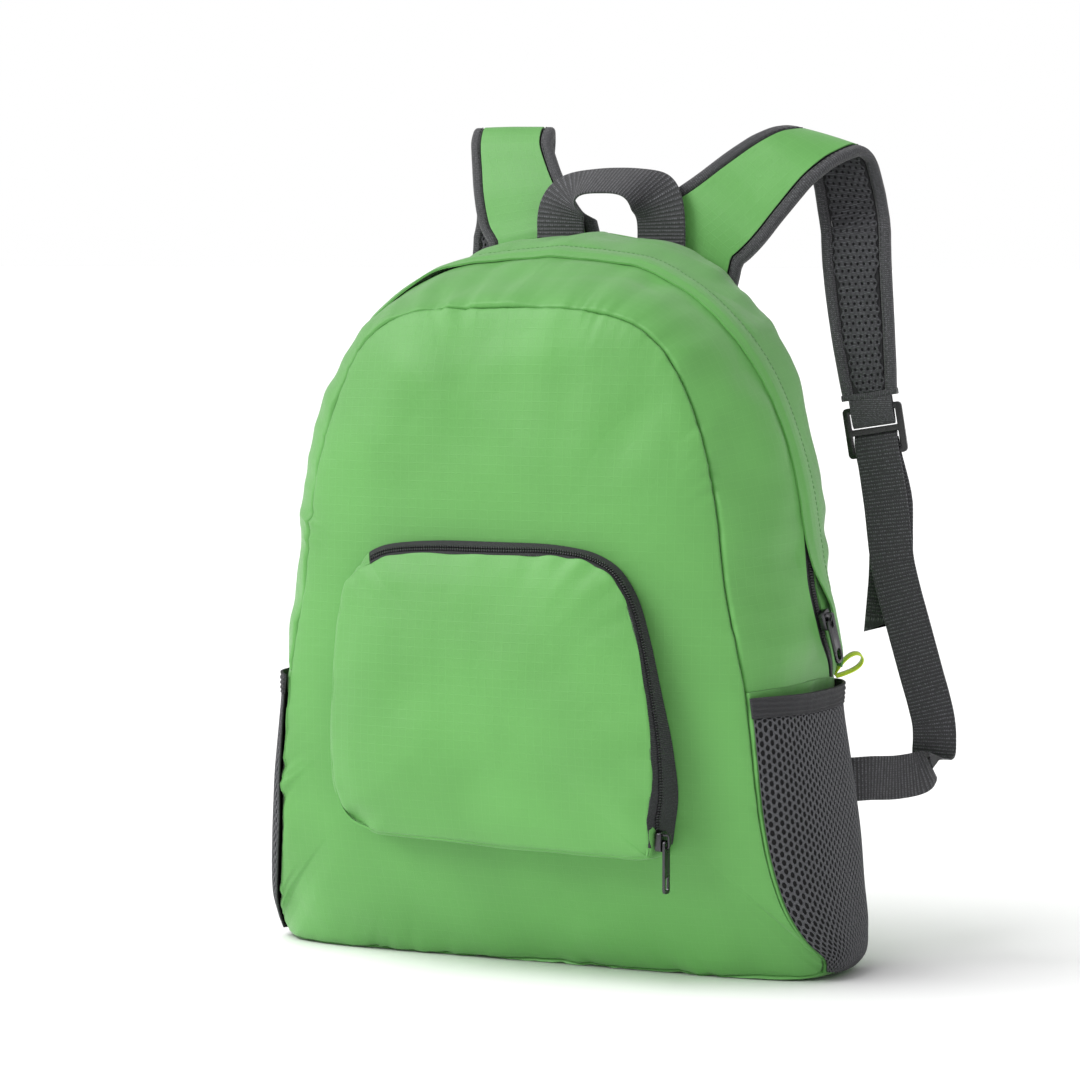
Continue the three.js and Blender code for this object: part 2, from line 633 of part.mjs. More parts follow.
/** How far a side pocket stands off the bag: nothing at its seams and its foot, most at its middle. */
function pocketLift(s, g) {
  const [row, side] = mirroredStation(s);
  const up = Math.min(1, Math.max(0, (row - cornerStation) / 3));
  const across = 1 - Math.abs(2 * g - 1) ** 4;
  const share = (row - cornerStation) / (pocketTopStation - cornerStation);
  const slack = 0.72 + 0.28 * Math.sin(Math.PI * share);
  const stand = side > 0 ? meshStand : meshStand * leftMeshShare;
  return seamGap * 2 + stand * across * Math.sin((up * Math.PI) / 2) * slack;
}

/** The station on the right side where the seam is at a height. */
function stationAtHeight(z) {
  let [low, high] = [cornerStation, topStation];
  for (let i = 0; i < 40; i += 1) {
    const middle = (low + high) / 2;
    if (seams.fz(middle) * bagHeight < z) low = middle;
    else high = middle;
  }
  return low;
}

const meshTopStation = stationAtHeight(seams.fz(pocketTopStation) * bagHeight - elasticWidth);

function sideMesh(side) {
  return bandSheet({
    ...sideSpan(side, cornerStation + 0.35, meshTopStation),
    shares: () => spread(0.012, 0.988, 8),
    wall: meshWall,
    lift: (s, g) => pocketLift(s, g) + meshWall,
    mitred: false,
  });
}

function pocketElastic(side) {
  return bandSheet({
    ...sideSpan(side, meshTopStation, pocketTopStation),
    shares: () => spread(0.012, 0.988, 8),
    wall: elasticWall,
    lift: (s, g) => pocketLift(s, g) + elasticWall,
    mitred: false,
  });
}

const pocketTable = smoothTable([...pocketRows.slice(-2), ...pocketRows, ...pocketRows.slice(0, 3)]);
const pocketLoop = pocketRows.length;
const pocketMiddle = new THREE.Vector2(0, pocketBase + 0.48 * pocketHeight);

/** A row number of the pocket's outline as its table's curves take it. */
const pocketRow = (s) => 2 + (((s % pocketLoop) + pocketLoop) % pocketLoop);

/** The share of the outline's zipped side at a row: 1 along the zip and 0 along the sewn edges. */
function zipped(s) {
  const row = pocketRow(s) - 2;
  const fade = 1.2;
  const start = Math.min(1, Math.max(0, row / fade));
  const end = Math.min(1, Math.max(0, (pocketZipTo + fade - row) / fade));
  return Math.min(start, end);
}

/** A point of the pocket's side wall: h runs from 0 on the bag to 1 at the edge of the pocket's face. */
function pocketWallPoint(s, h) {
  const row = pocketRow(s);
  const x = (pocketTable.x(row) * pocketWidth) / 2;
  const z = pocketBase + pocketTable.z(row) * pocketHeight;
  const inwards = new THREE.Vector2(pocketMiddle.x - x, pocketMiddle.y - z).normalize();
  const inset = pocketInset * pocketTable.inset(row) * zipped(s) * h;
  const base = panelDepth(panels.front, x, z) - seamGap * 2 - zipWallSlant * zipped(s);
  return new THREE.Vector3(
    x + inwards.x * inset,
    base - pocketTable.stand(row) * pocketStand * h,
    z + inwards.y * inset,
  );
}

/** A point of the pocket's face, r from 0 at its middle to 1 at its edge. */
function pocketFacePoint(s, r) {
  const edge = pocketWallPoint(s, 1);
  const middleY = frontY - frontCrown - pocketStand * 0.72;
  const x = edge.x * r;
  const z = pocketMiddle.y + (edge.z - pocketMiddle.y) * r;
  return new THREE.Vector3(x, middleY + (edge.y - middleY) * r ** 2 - pocketCrown * (1 - r ** 4), z);
}

const pocketStations = [0, 0.4, 1, 2, 3, 4, 5, 6, 6.5, 7, 7.5, 8, 9, 10, 11, 11.5, 12, 12.5]
  .concat([13, 14, 15, 16, 17, 17.5, 18, 19, 20, 21, 22]);

function pocketWallNormal(s, h) {
  const normal = normalOf(pocketWallPoint, s, h, 0.02, 0.05);
  const p = pocketWallPoint(s, h);
  const away = new THREE.Vector3(p.x - pocketMiddle.x, 0, p.z - pocketMiddle.y);
  return normal.dot(away) < 0 ? normal.negate() : normal;
}

function pocketFaceNormal(s, r) {
  const normal = normalOf(pocketFacePoint, s, r, 0.02, 0.02);
  return normal.y > 0 ? normal.negate() : normal;
}

/** The pocket's front: a domed sheet that meets its walls in a mitre. */
function pocketPanel() {
  const rings = [1 - seamGap / 2 / (pocketWidth / 2), 0.85, 0.65, 0.42, 0.18];
  const outer = pocketStations.map((s) => rings.map((r) => pocketFacePoint(s, r)));
  const inner = pocketStations.map((s, i) =>
    rings.map((r, j) => {
      const own = pocketFaceNormal(s, r);
      const offset = j === 0 ? mitre(own, pocketWallNormal(s, 1)) : own;
      return outer[i][j].clone().addScaledVector(offset, -pocketWall);
    }),
  );
  return wallGeometry(outer, inner, { round: true, domed: true });
}

/** A stretch of the pocket's side wall. */
function pocketWallSheet({ from, to, heights, lift = () => 0 }) {
  const inset = 0.012;
  const all = [...pocketStations, ...pocketStations.map((s) => s + pocketLoop)];
  const stations = [from + inset, ...all.filter((s) => s > from + 0.1 && s < to - 0.1), to - inset];
  const gapAt = (s) => seamGap / 2 / (pocketTable.stand(pocketRow(s)) * pocketStand);
  const grid = (above) =>
    stations.map((s) =>
      heights.map((h, j) => {
        const own = pocketWallNormal(s, Math.min(h, 0.95));
        const top = j === heights.length - 1;
        const offset = top ? mitre(own, pocketFaceNormal(s, 1)) : own;
        const point = pocketWallPoint(s, top ? 1 - gapAt(s) : h);
        return point.addScaledVector(offset, lift(j) + above);
      }),
    );
  return wallGeometry(grid(0), grid(-pocketWall));
}

const pocketGusset = () =>
  pocketWallSheet({ from: pocketZipTo, to: pocketLoop + pocketZipFrom, heights: [0, 0.5, 1] });

/** The pocket's zip: a tape wall with its coil as a ridge near the face. */
const pocketZipTape = () =>
  pocketWallSheet({
    from: pocketZipFrom,
    to: pocketZipTo,
    heights: [0, 0.5, 0.56, 0.74, 0.8, 1],
    lift: (j) => (j === 2 || j === 3 ? 1.1 : 0),
  });

/** A solid of the boolean library from a closed geometry. */
function solidFrom(geometry) {
  const bare = geometry.index ? geometry.toNonIndexed() : geometry.clone();
  bare.deleteAttribute("normal");
  bare.deleteAttribute("uv");
  const merged = mergeVertices(bare, 1e-4);
  return new wasm.Manifold(
    new wasm.Mesh({
      numProp: 3,
      vertProperties: new Float32Array(merged.attributes.position.array),
      triVerts: new Uint32Array(merged.index.array),
    }),
  );
}

/** A geometry from a solid of the boolean library. */
function geometryFrom(solid) {
  const mesh = solid.getMesh();
  const geometry = new THREE.BufferGeometry();
  geometry.setAttribute("position", new THREE.BufferAttribute(new Float32Array(mesh.vertProperties), 3));
  geometry.setIndex([...mesh.triVerts]);
  geometry.computeVertexNormals();
  return geometry;
}

/** A rounded box as an extruded shape, centred, its depth along Z. */
function roundedPlate(width, height, depth, radius, corners = 2) {
  const shape = roundedRectangle(width, height, radius);
  const plate = new THREE.ExtrudeGeometry(shape, { depth, bevelEnabled: false, curveSegments: corners });
  return plate.translate(0, 0, -depth / 2);
}

/** A rounded rectangle, as a shape or as a hole in one. */
function roundedRectangle(width, height, radius, Kind = THREE.Shape) {
  const [w, h] = [width / 2, height / 2];
  const shape = new Kind();
  shape.moveTo(-w + radius, -h);
  shape.lineTo(w - radius, -h);
  shape.absarc(w - radius, -h + radius, radius, -Math.PI / 2, 0);
  shape.lineTo(w, h - radius);
  shape.absarc(w - radius, h - radius, radius, 0, Math.PI / 2);
  shape.lineTo(-w + radius, h);
  shape.absarc(-w + radius, h - radius, radius, Math.PI / 2, Math.PI);
  shape.lineTo(-w, -h + radius);
  shape.absarc(-w + radius, -h + radius, radius, Math.PI, 1.5 * Math.PI);
  return shape;
}

/** A zip slider with its bail: X across the zip, Y along it, Z away from it, its foot at the origin. */
function sliderGeometry() {
  const body = solidFrom(
    roundedPlate(sliderWidth, sliderLength, sliderHeight, 2).translate(0, 0, sliderHeight / 2),
  );
  const arch = new THREE.Shape();
  const [half, top] = [sliderLength * 0.36, bailRoom + bailWire];
  arch.moveTo(-half, -0.6);
  arch.lineTo(-half, top - 1);
  arch.lineTo(-half + 1, top);
  arch.lineTo(half - 1, top);
  arch.lineTo(half, top - 1);
  arch.lineTo(half, -0.6);
  arch.lineTo(half - bailWire, -0.6);
  arch.lineTo(half - bailWire, bailRoom);
  arch.lineTo(-half + bailWire, bailRoom);
  arch.lineTo(-half + bailWire, -0.6);
  const bail = new THREE.ExtrudeGeometry(arch, { depth: bailWidth, bevelEnabled: false });
  bail.translate(0, 0, -bailWidth / 2).rotateX(Math.PI / 2).rotateZ(Math.PI / 2);
  bail.translate(0, 0, sliderHeight);
  return geometryFrom(body.add(solidFrom(bail)));
}

/** A puller that hangs along -Y from its cross bar, which lies on X through the origin. */
function pullerGeometry(length, width, holes) {
  const shape = roundedRectangle(width, length, width * 0.32);
  const window = roundedRectangle(bailWidth + 1.4, pullerWindow, 0.5, THREE.Path);
  const windowY = length / 2 - pullerWire - pullerWindow / 2;
  shape.holes.push(movedPath(window, 0, windowY));
  for (const hole of holes) {
    const path = roundedRectangle(hole.width, hole.height, hole.width / 2.05, THREE.Path);
    shape.holes.push(movedPath(path, 0, hole.y + length / 2));
  }
  const plate = new THREE.ExtrudeGeometry(shape, { depth: pullerWall, bevelEnabled: false, curveSegments: 3 });
  return plate.translate(0, -length / 2 + pullerWire / 2, -pullerWall / 2);
}

/** A path moved in its plane. */
function movedPath(path, dx, dy) {
  const points = path.getPoints(3).map((p) => new THREE.Vector2(p.x + dx, p.y + dy));
  return new THREE.Path(points.slice(0, -1));
}

/** A frame of three directions from a zip's run and its outward normal, standing at a point. */
function standingFrame(point, run, normal) {
  const up = run.clone().negate().normalize();
  const across = up.clone().cross(normal).normalize();
  const out = across.clone().cross(up).normalize();
  return new THREE.Matrix4().makeBasis(across, up, out).setPosition(point);
}

/** The frame of the main zip's slider, low on the right side. */
function mainSliderFrame() {
  const [s, g] = [sliderStation, zipAt(sliderStation)];
  const run = bandPoint(s - 0.3, zipAt(s - 0.3)).sub(bandPoint(s + 0.3, zipAt(s + 0.3)));
  const normal = bandNormal(s, g);
  return standingFrame(bandPoint(s, g).addScaledVector(normal, zipCoilHeight + 0.2), run, normal);
}

/** The frame of the front pocket's slider, near the lower end of its zip. */
function pocketSliderFrame() {
  const [s, h] = [pocketSliderRow, 0.72];
  const normal = pocketWallNormal(s, h);
  normal.z = 0;
  const run = new THREE.Vector3(0, 0, -1);
  return standingFrame(pocketWallPoint(s, h).addScaledVector(normal.normalize(), 1.1 + 0.4), run, normal);
}

/** The frame of a puller's cross bar, inside its slider's bail. */
function pullerFrame(slider) {
  const out = sliderHeight + bailRoom / 2;
  return slider.clone().multiply(new THREE.Matrix4().makeTranslation(0, 0, out));
}

/** Centre, width and facing along a ribbon that follows a table's rows. */
function ribbonFrames(rows, count, lift = strapBindingWall / 2 + 3 * seamGap) {
  const table = smoothTable(rows);
  const last = rows.length - 1;
  const centre = (at) => {
    const x = table.x(at) * halfWidth;
    const share = table.z(at);
    const z = share <= 1 ? share * bagHeight : bagHeight + (share - 1) * strapReach;
    const y = panelDepth(panels.back, x, Math.min(z, bagHeight * 0.94)) + lift;
    return new THREE.Vector3(x, y + table.back(at) * strapSetback, z);
  };
  return spread(0, last, count).map((at) => {
    const [before, after] = [Math.max(at - 0.2, 0), Math.min(at + 0.2, last)];
    const run = centre(after).sub(centre(before)).normalize();
    const yaw = THREE.MathUtils.degToRad(table.yaw(at));
    const roll = THREE.MathUtils.degToRad(table.roll(at));
    const across = new THREE.Vector3(
      Math.cos(yaw) * Math.cos(roll),
      Math.sin(yaw) * Math.cos(roll),
      Math.sin(roll),
    );
    const facing = across.clone().cross(run).normalize();
    return { centre: centre(at), across, facing, width: table.width ? table.width(at) * strapWidth : 0 };
  });
}

/** Sweeps a closed outline, given at each frame as pairs across and along its facing, into a solid. */
function sweptOutline(frames, outlineAt) {
  const rings = frames.map((frame, i) =>
    outlineAt(frame, i).map(([a, b, c = 0]) => {
      const point = frame.centre.clone().addScaledVector(frame.across, a).addScaledVector(frame.facing, b);
      return c ? point.addScaledVector(frame.run, c) : point;
    }),
  );
  const sides = rings[0].length;
  const faces = [];
  for (let i = 0; i < rings.length - 1; i += 1) {
    for (let j = 0; j < sides; j += 1) {
      const next = (j + 1) % sides;
      const [a, b] = [i * sides + j, i * sides + next];
      faces.push(a, b, b + sides, a, b + sides, a + sides);
    }
  }
  const end = (rings.length - 1) * sides;
  for (let j = 1; j < sides - 1; j += 1) faces.push(0, j + 1, j, end, end + j, end + j + 1);
  return facingOut(rings.flat(), faces);
}

/** A rectangle for sweptOutline, between two places across and two along the facing. */
const rectangle = (a0, a1, b0, b1) => [
  [a0, b0],
  [a1, b0],
  [a1, b1],
  [a0, b1],
];

const strapSteps = 25;
const webbingSteps = 22;
const tailSteps = 5;
const tabReach = 5; // how far the strap's end tab stands above its lock

/** A layer of a ribbon: between two shares of its frames' half width, and two heights along their facing. */
function ribbonLayer(frames, across, low, high) {
  const grid = (height) =>
    frames.map((frame) =>
      across(frame).map((a) =>
        frame.centre.clone().addScaledVector(frame.across, a).addScaledVector(frame.facing, height),
      ),
    );
  return wallGeometry(grid(high), grid(low));
}

/** The four solids of one shoulder strap. */
function strapGeometries(rows) {
  const frames = ribbonFrames(rows, strapSteps);
  const half = strapPadWall / 2;
  const edge = (frame) => frame.width / 2 - strapBindingWidth;
  const middle = (frame) => spread(-edge(frame) + bindingGap, edge(frame) - bindingGap, 2);
  const bind = strapBindingWall / 2;
  return {
    pad: ribbonLayer(frames, middle, -half, half),
    outer: ribbonLayer(frames, middle, half + seamGap, half + seamGap + strapSkinWall),
    binding_left: ribbonLayer(frames, (f) => [-f.width / 2, -edge(f)], -bind, bind),
    binding_right: ribbonLayer(frames, (f) => [edge(f), f.width / 2], -bind, bind),
  };
}

/** A ribbon's frames through points of a ladder lock's own plane and then along a table's rows. */
function webbingFrames(lock, starts, rows, steps) {
  const across = new THREE.Vector3().setFromMatrixColumn(lock, 0);
  const first = starts.map(([y, z]) => ({ centre: new THREE.Vector3(0, y, z).applyMatrix4(lock), across }));
  const rest = ribbonFrames(rows, steps, webbingWall / 2 + 2 * seamGap);
  const frames = [...first, ...rest];
  return frames.map((frame, i) => {
    const before = frames[Math.max(i - 1, 0)].centre;
    const after = frames[Math.min(i + 1, frames.length - 1)].centre;
    const run = after.clone().sub(before).normalize();
    const square = frame.across.clone().addScaledVector(run, -frame.across.dot(run)).normalize();
    return { centre: frame.centre, across: square, facing: square.clone().cross(run).normalize(), run };
  });
}

const webbingOutline = () => rectangle(-webbingWidth / 2, webbingWidth / 2, -webbingWall / 2, webbingWall / 2);

/** The webbing from its lock to its sewn end. */
function webbingGeometry(lock, rows) {
  const starts = [[-3.4, 0], [-10.2, lockWall / 2 + 1.4], [-15, lockWall / 2 + 1.3], [-20, lockWall / 2]];
  return sweptOutline(webbingFrames(lock, starts, rows, webbingSteps), webbingOutline);
}

/** The webbing's free tail behind the lock, its end cut on the slant. */
function tailGeometry(lock, rows) {
  const starts = [[-5.6, -1.7], [-10.3, -lockWall / 2 - 1.7], [-15.5, -lockWall / 2 - 2]];
  const frames = webbingFrames(lock, starts, rows, tailSteps);
  const last = frames[frames.length - 1];
  const slant = Math.sign(last.centre.x) * 0.5;
  return sweptOutline(frames, (frame) => webbingOutline().map(([a, b]) => [a, b, frame === last ? -a * slant : 0]));
}

/** A ladder lock: a frame with a bar across its middle. X is across, Y up and Z out. */
function lockGeometry() {
  const opening = (lockHeight - 3 * lockBar) / 2;
  const windowAt = (y) => solidFrom(
    new THREE.BoxGeometry(webbingWidth + 1.6, opening, lockWall * 2).translate(0, y, 0),
  );
  const plate = solidFrom(roundedPlate(lockWidth, lockHeight, lockWall, 2.5));
  const middle = (lockBar + opening) / 2;
  return geometryFrom(plate.subtract(windowAt(middle)).subtract(windowAt(-middle)));
}

/** The strap's end tab, folded round the lock's top bar. */
function tabGeometry() {
  const [inner, wall] = [lockWall / 2 + 0.35, 1.3];
  const [top, foot] = [lockHeight / 2 + tabReach, lockHeight / 2 - lockBar - 0.35];
  const shape = new THREE.Shape();
  shape.moveTo(-inner - wall, top);
  shape.lineTo(-inner - wall, foot - wall * 0.4);
  shape.lineTo(-inner + wall * 0.2, foot - wall);
  shape.lineTo(inner - wall * 0.2, foot - wall);
  shape.lineTo(inner + wall, foot - wall * 0.4);
  shape.lineTo(inner + wall, top);
  shape.lineTo(inner, top);
  shape.lineTo(inner, foot);
  shape.lineTo(-inner, foot);
  shape.lineTo(-inner, top);
  const width = webbingWidth - 1;
  const tab = new THREE.ExtrudeGeometry(shape, { depth: width, bevelEnabled: false });
  return tab.translate(0, 0, -width / 2).rotateY(Math.PI / 2);
}

/** A ladder lock's frame, hanging from the end of a strap. */
function lockFrame(rows) {
  const frames = ribbonFrames(rows, strapSteps);
  const end = frames[frames.length - 1];
  const run = end.facing.clone().cross(end.across).normalize();
  const centre = end.centre.clone().addScaledVector(run, lockHeight / 2 + tabReach + seamGap);
  const up = run.clone().negate();
  const out = end.across.clone().cross(up).normalize();
  return new THREE.Matrix4().makeBasis(end.across, up, out).setPosition(centre);
}

/** The haul handle: a strip whose legs lie on the back panel and whose arch tips towards the front. */
function handleGeometry() {
  const legZ = bagHeight - handleLeg;
  const lift = handleWall / 2 + seamGap * 1.5;
  const legY = (z) => panelDepth(panels.back, handleSpan / 2, Math.min(z, bagHeight * 0.97)) + lift;
  const tilt = THREE.MathUtils.degToRad(handleTilt);
  const archY = Math.max(...spread(legZ, bagHeight, 4).map(legY));
  const legs = spread(legZ, bagHeight, 3).slice(0, -1);
  const leg = (side, z) => ({
    centre: new THREE.Vector3((side * handleSpan) / 2, Math.max(legY(z), z > legZ + 1 ? archY : 0), z),
    across: new THREE.Vector3(-side, 0, 0),
  });
  const arch = spread(0, Math.PI, 16).map((turn) => {
    const [c, s] = [Math.cos(turn), Math.sin(turn)];
    const x = -Math.sign(c) * Math.abs(c) ** handleSquareness;
    const z = Math.abs(s) ** handleSquareness;
    const facing = Math.PI / 2 - (Math.PI / 2) * Math.sign(c) * Math.abs(c) ** 1.6;
    return {
      centre: new THREE.Vector3((handleSpan / 2) * x, archY - 2 * z, bagHeight + handleRise * z),
      across: new THREE.Vector3(
        Math.cos(facing),
        -Math.sin(facing) * Math.cos(tilt),
        -Math.sin(facing) * Math.sin(tilt),
      ),
    };
  });
  const frames = [...legs.map((z) => leg(-1, z)), ...arch, ...legs.reverse().map((z) => leg(1, z))];
  const squared = frames.map((frame, i) => {
    const before = frames[Math.max(i - 1, 0)].centre;
    const run = frames[Math.min(i + 1, frames.length - 1)].centre.clone().sub(before).normalize();
    const across = frame.across.clone().addScaledVector(run, -frame.across.dot(run)).normalize();
    return { centre: frame.centre, across, facing: across.clone().cross(run).normalize() };
  });
  const half = handleWall / 2;
  return sweptOutline(squared, () => rectangle(-handleWidth / 2, handleWidth / 2, -half, half));
}

/** The small loop at the zip's lower end on the right: a ribbon bent back on itself. */
function loopGeometry() {
  const [s, g] = [zipEndStation - 0.05, loopRootShare];
  const normal = bandNormal(s, g);
  const root = bandPoint(s, g).addScaledVector(normal, loopLift);
  const out = new THREE.Vector3(0.74, 0.3, 0.6).normalize();
  const wide = new THREE.Vector3(-0.4, 0.8, 0.4);
  wide.addScaledVector(out, -wide.dot(out)).normalize();
  const side = out.clone().cross(wide).normalize();
  const leg = (loopWall + loopLegGap) / 2;
  const frames = spread(0.01, 0.99, 14).map((share) => {
    const turn = share * 2 * Math.PI;
    const along = loopLength * Math.sin(turn / 2);
    const aside = -loopLength * loopOpening * Math.sin(turn) - leg * Math.cos(turn / 2);
    return { centre: root.clone().addScaledVector(out, along).addScaledVector(side, aside), across: wide };
  });
  const squared = frames.map((frame, i) => {
    const before = frames[Math.max(i - 1, 0)].centre;
    const run = frames[Math.min(i + 1, frames.length - 1)].centre.clone().sub(before).normalize();
    return { ...frame, facing: frame.across.clone().cross(run).normalize() };
  });
  const [w, t] = [loopWidth / 2, loopWall / 2];
  return sweptOutline(squared, () => rectangle(-w, w, -t, t));
}

const finishes = {
  cloth: { color: 0x6baf5b, roughness: 0.75, metalness: 0 },
  trim: { color: 0x46464a, roughness: 0.85, metalness: 0 },
  mesh: { color: 0x4a4b50, roughness: 0.9, metalness: 0 },
  zip: { color: 0x5c5c62, roughness: 0.8, metalness: 0 },
  metal: { color: 0x55545c, roughness: 0.35, metalness: 0.9 },
  plastic: { color: 0x1d1d20, roughness: 0.45, metalness: 0 },
  loop: { color: 0xc8e61e, roughness: 0.7, metalness: 0 },
};

const group = new THREE.Group();

/** Adds one named piece with its own material. */
function addPiece(name, geometry, finish, frame) {
  const mesh = new THREE.Mesh(geometry, new THREE.MeshStandardMaterial(finishes[finish]));
  mesh.name = name;
  if (frame) frame.decompose(mesh.position, mesh.quaternion, mesh.scale);
  group.add(mesh);
}

addPiece("front_panel", panelGeometry(panels.front), "cloth");
addPiece("back_panel", panelGeometry(panels.back), "cloth");
addPiece("bottom_panel", bottomPanel(), "cloth");
addPiece("front_gusset", frontGusset(), "cloth");
addPiece("back_gusset", backGusset(), "cloth");
addPiece("main_zip_tape", mainZipTape(), "zip");
addPiece("zip_flap", zipFlap(), "cloth");
addPiece("end_loop", loopGeometry(), "loop");
addPiece("pocket_panel", pocketPanel(), "cloth");
addPiece("pocket_gusset", pocketGusset(), "cloth");
addPiece("pocket_zip_tape", pocketZipTape(), "zip");
addPiece("haul_handle", handleGeometry(), "trim");

const mainSlider = mainSliderFrame();
const pocketSlider = pocketSliderFrame();
const endHole = (width, length) => [{ width: width - 2 * pullerWire, height: length * 0.26, y: -length * 0.82 }];
addPiece("main_slider", sliderGeometry(), "metal", mainSlider);
addPiece(
  "main_puller",
  pullerGeometry(mainPullerLength, mainPullerWidth, endHole(mainPullerWidth, mainPullerLength)),
  "metal",
  pullerFrame(mainSlider),
);
addPiece("pocket_slider", sliderGeometry(), "metal", pocketSlider);
addPiece(
  "pocket_puller",
  pullerGeometry(pocketPullerLength, pocketPullerWidth, endHole(pocketPullerWidth, pocketPullerLength)),
  "metal",
  pullerFrame(pocketSlider),
);

/** A table mirrored to the other side of the bag, drawn in or out by a share. */
const mirrored = (rows, share) =>
  rows.map((row) => ({ ...row, x: -row.x * share, yaw: -row.yaw, roll: -row.roll }));

const sides = [
  { name: "right", side: 1, strap: rightStrapRows, webbing: rightWebbingRows, tail: rightTailRows },
  {
    name: "left",
    side: -1,
    strap: leftStrapRows,
    webbing: mirrored(rightWebbingRows, 0.92),
    tail: mirrored(rightTailRows, 0.91),
  },
];
for (const { name, side, strap, webbing, tail } of sides) {
  addPiece(`${name}_side_base`, sideBase(side), "cloth");
  addPiece(`${name}_side_mesh`, sideMesh(side), "mesh");
  addPiece(`${name}_pocket_elastic`, pocketElastic(side), "trim");
  const pieces = strapGeometries(strap);
  addPiece(`${name}_strap_pad`, pieces.pad, "mesh");
  addPiece(`${name}_strap_outer`, pieces.outer, "cloth");
  addPiece(`${name}_strap_binding_left`, pieces.binding_left, "trim");
  addPiece(`${name}_strap_binding_right`, pieces.binding_right, "trim");
  const lock = lockFrame(strap);
  addPiece(`${name}_strap_tab`, tabGeometry(), "trim", lock);
  addPiece(`${name}_ladder_lock`, lockGeometry(), "plastic", lock);
  addPiece(`${name}_webbing`, webbingGeometry(lock, webbing), "trim");
  addPiece(`${name}_webbing_tail`, tailGeometry(lock, tail), "trim");
}

export default group;
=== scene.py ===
"""A packable backpack, open and standing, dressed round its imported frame.

The shell is thin green ripstop sewn from panels. Every class below is one sub-assembly: it holds its own
sizes in millimetres, builds its meshes in the frame's place and gives them their finishes. The short
tables repeat the ones that the solids were made from, so each dressed piece lies on its solid.
"""

from __future__ import annotations

import logging
import math
from dataclasses import dataclass
from enum import Enum
from functools import lru_cache
from typing import Any, Callable, Sequence

import bpy
import numpy as np
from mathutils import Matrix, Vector, noise

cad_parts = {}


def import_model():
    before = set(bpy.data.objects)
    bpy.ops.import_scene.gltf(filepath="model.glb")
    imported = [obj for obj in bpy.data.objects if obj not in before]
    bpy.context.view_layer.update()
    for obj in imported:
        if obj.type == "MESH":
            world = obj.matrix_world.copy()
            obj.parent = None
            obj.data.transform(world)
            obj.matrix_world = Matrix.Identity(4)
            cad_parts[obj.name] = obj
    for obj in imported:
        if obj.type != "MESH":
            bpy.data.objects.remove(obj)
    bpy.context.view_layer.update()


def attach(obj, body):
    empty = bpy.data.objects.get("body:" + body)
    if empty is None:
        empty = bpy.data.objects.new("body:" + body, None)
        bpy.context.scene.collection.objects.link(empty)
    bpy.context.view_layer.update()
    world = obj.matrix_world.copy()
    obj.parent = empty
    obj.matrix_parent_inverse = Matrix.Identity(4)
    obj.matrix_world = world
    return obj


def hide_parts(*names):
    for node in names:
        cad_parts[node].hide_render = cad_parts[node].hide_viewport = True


LOG = logging.getLogger("backpack")
MM = 0.001
Array = np.ndarray
Colour = tuple[float, float, float]


class Seam(Enum):
    """The two seams that join the shell's panels to the band between them."""

    FRONT = "f"
    BACK = "b"


class Side(Enum):
    """The bag's right or left, seen from the front."""

    RIGHT = 1
    LEFT = -1

    @property
    def word(self) -> str:
        """The side's name, as the nodes spell it."""
        return self.name.lower()


# The shell's seams from the middle of the base, out to the right corner and up to the top's middle.
SEAM_COLUMNS = "fx fy fz bx by bz bulge zip flap"
SEAM_ROWS = (
    (0.0, -0.32, 0.0, 0.0, 0.34, 0.0, 0.0, 0.5, 0.5),
    (0.4, -0.32, 0.0, 0.4, 0.34, 0.0, 0.0, 0.5, 0.5),
    (0.7, -0.315, 0.0, 0.7, 0.335, 0.0, 0.0, 0.5, 0.5),
    (0.885, -0.27, 0.002, 0.87, 0.3, 0.002, 0.0, 0.5, 0.5),
    (0.96, -0.19, 0.009, 0.94, 0.25, 0.009, 0.08, 0.5, 0.5),
    (0.968, -0.21, 0.027, 0.945, 0.28, 0.027, 0.2, 0.5, 0.5),
    (0.937, -0.32, 0.055, 0.915, 0.35, 0.055, 0.32, 0.55, 0.65),
    (0.895, -0.42, 0.103, 0.875, 0.41, 0.103, 0.42, 0.6, 0.7),
    (0.857, -0.49, 0.184, 0.846, 0.45, 0.184, 0.5, 0.66, 0.76),
    (0.84, -0.52, 0.257, 0.823, 0.47, 0.257, 0.47, 0.74, 0.83),
    (0.822, -0.525, 0.343, 0.8, 0.475, 0.343, 0.4, 0.74, 0.83),
    (0.81, -0.525, 0.39, 0.789, 0.475, 0.39, 0.57, 0.73, 0.82),
    (0.783, -0.53, 0.449, 0.766, 0.475, 0.449, 0.89, 0.51, 0.61),
    (0.746, -0.53, 0.527, 0.734, 0.475, 0.534, 0.97, 0.45, 0.5),
    (0.72, -0.525, 0.625, 0.71, 0.475, 0.642, 1.0, 0.45, 0.43),
    (0.68, -0.52, 0.711, 0.68, 0.475, 0.735, 0.9, 0.44, 0.4),
    (0.62, -0.51, 0.784, 0.63, 0.475, 0.819, 0.74, 0.42, 0.38),
    (0.53, -0.51, 0.848, 0.555, 0.475, 0.88, 0.56, 0.4, 0.36),
    (0.42, -0.51, 0.882, 0.45, 0.48, 0.932, 0.43, 0.42, 0.38),
    (0.27, -0.51, 0.897, 0.3, 0.485, 0.977, 0.36, 0.45, 0.41),
    (0.0, -0.51, 0.902, 0.0, 0.49, 1.0, 0.33, 0.46, 0.42),
)
TOP = len(SEAM_ROWS) - 1
LOOP = 2 * TOP
CORNER = 4
POCKET_TOP = 10.9
ZIP_END = 11.05

# The shares of the depth that the two panels' domes start from, and the front pocket's middle and half
# size in mm.
FRONT_FOOT, BACK_FOOT = -0.525, 0.475
POCKET_MIDDLE, POCKET_HALF_WIDTH, POCKET_HALF_HEIGHT = 154, 106, 84

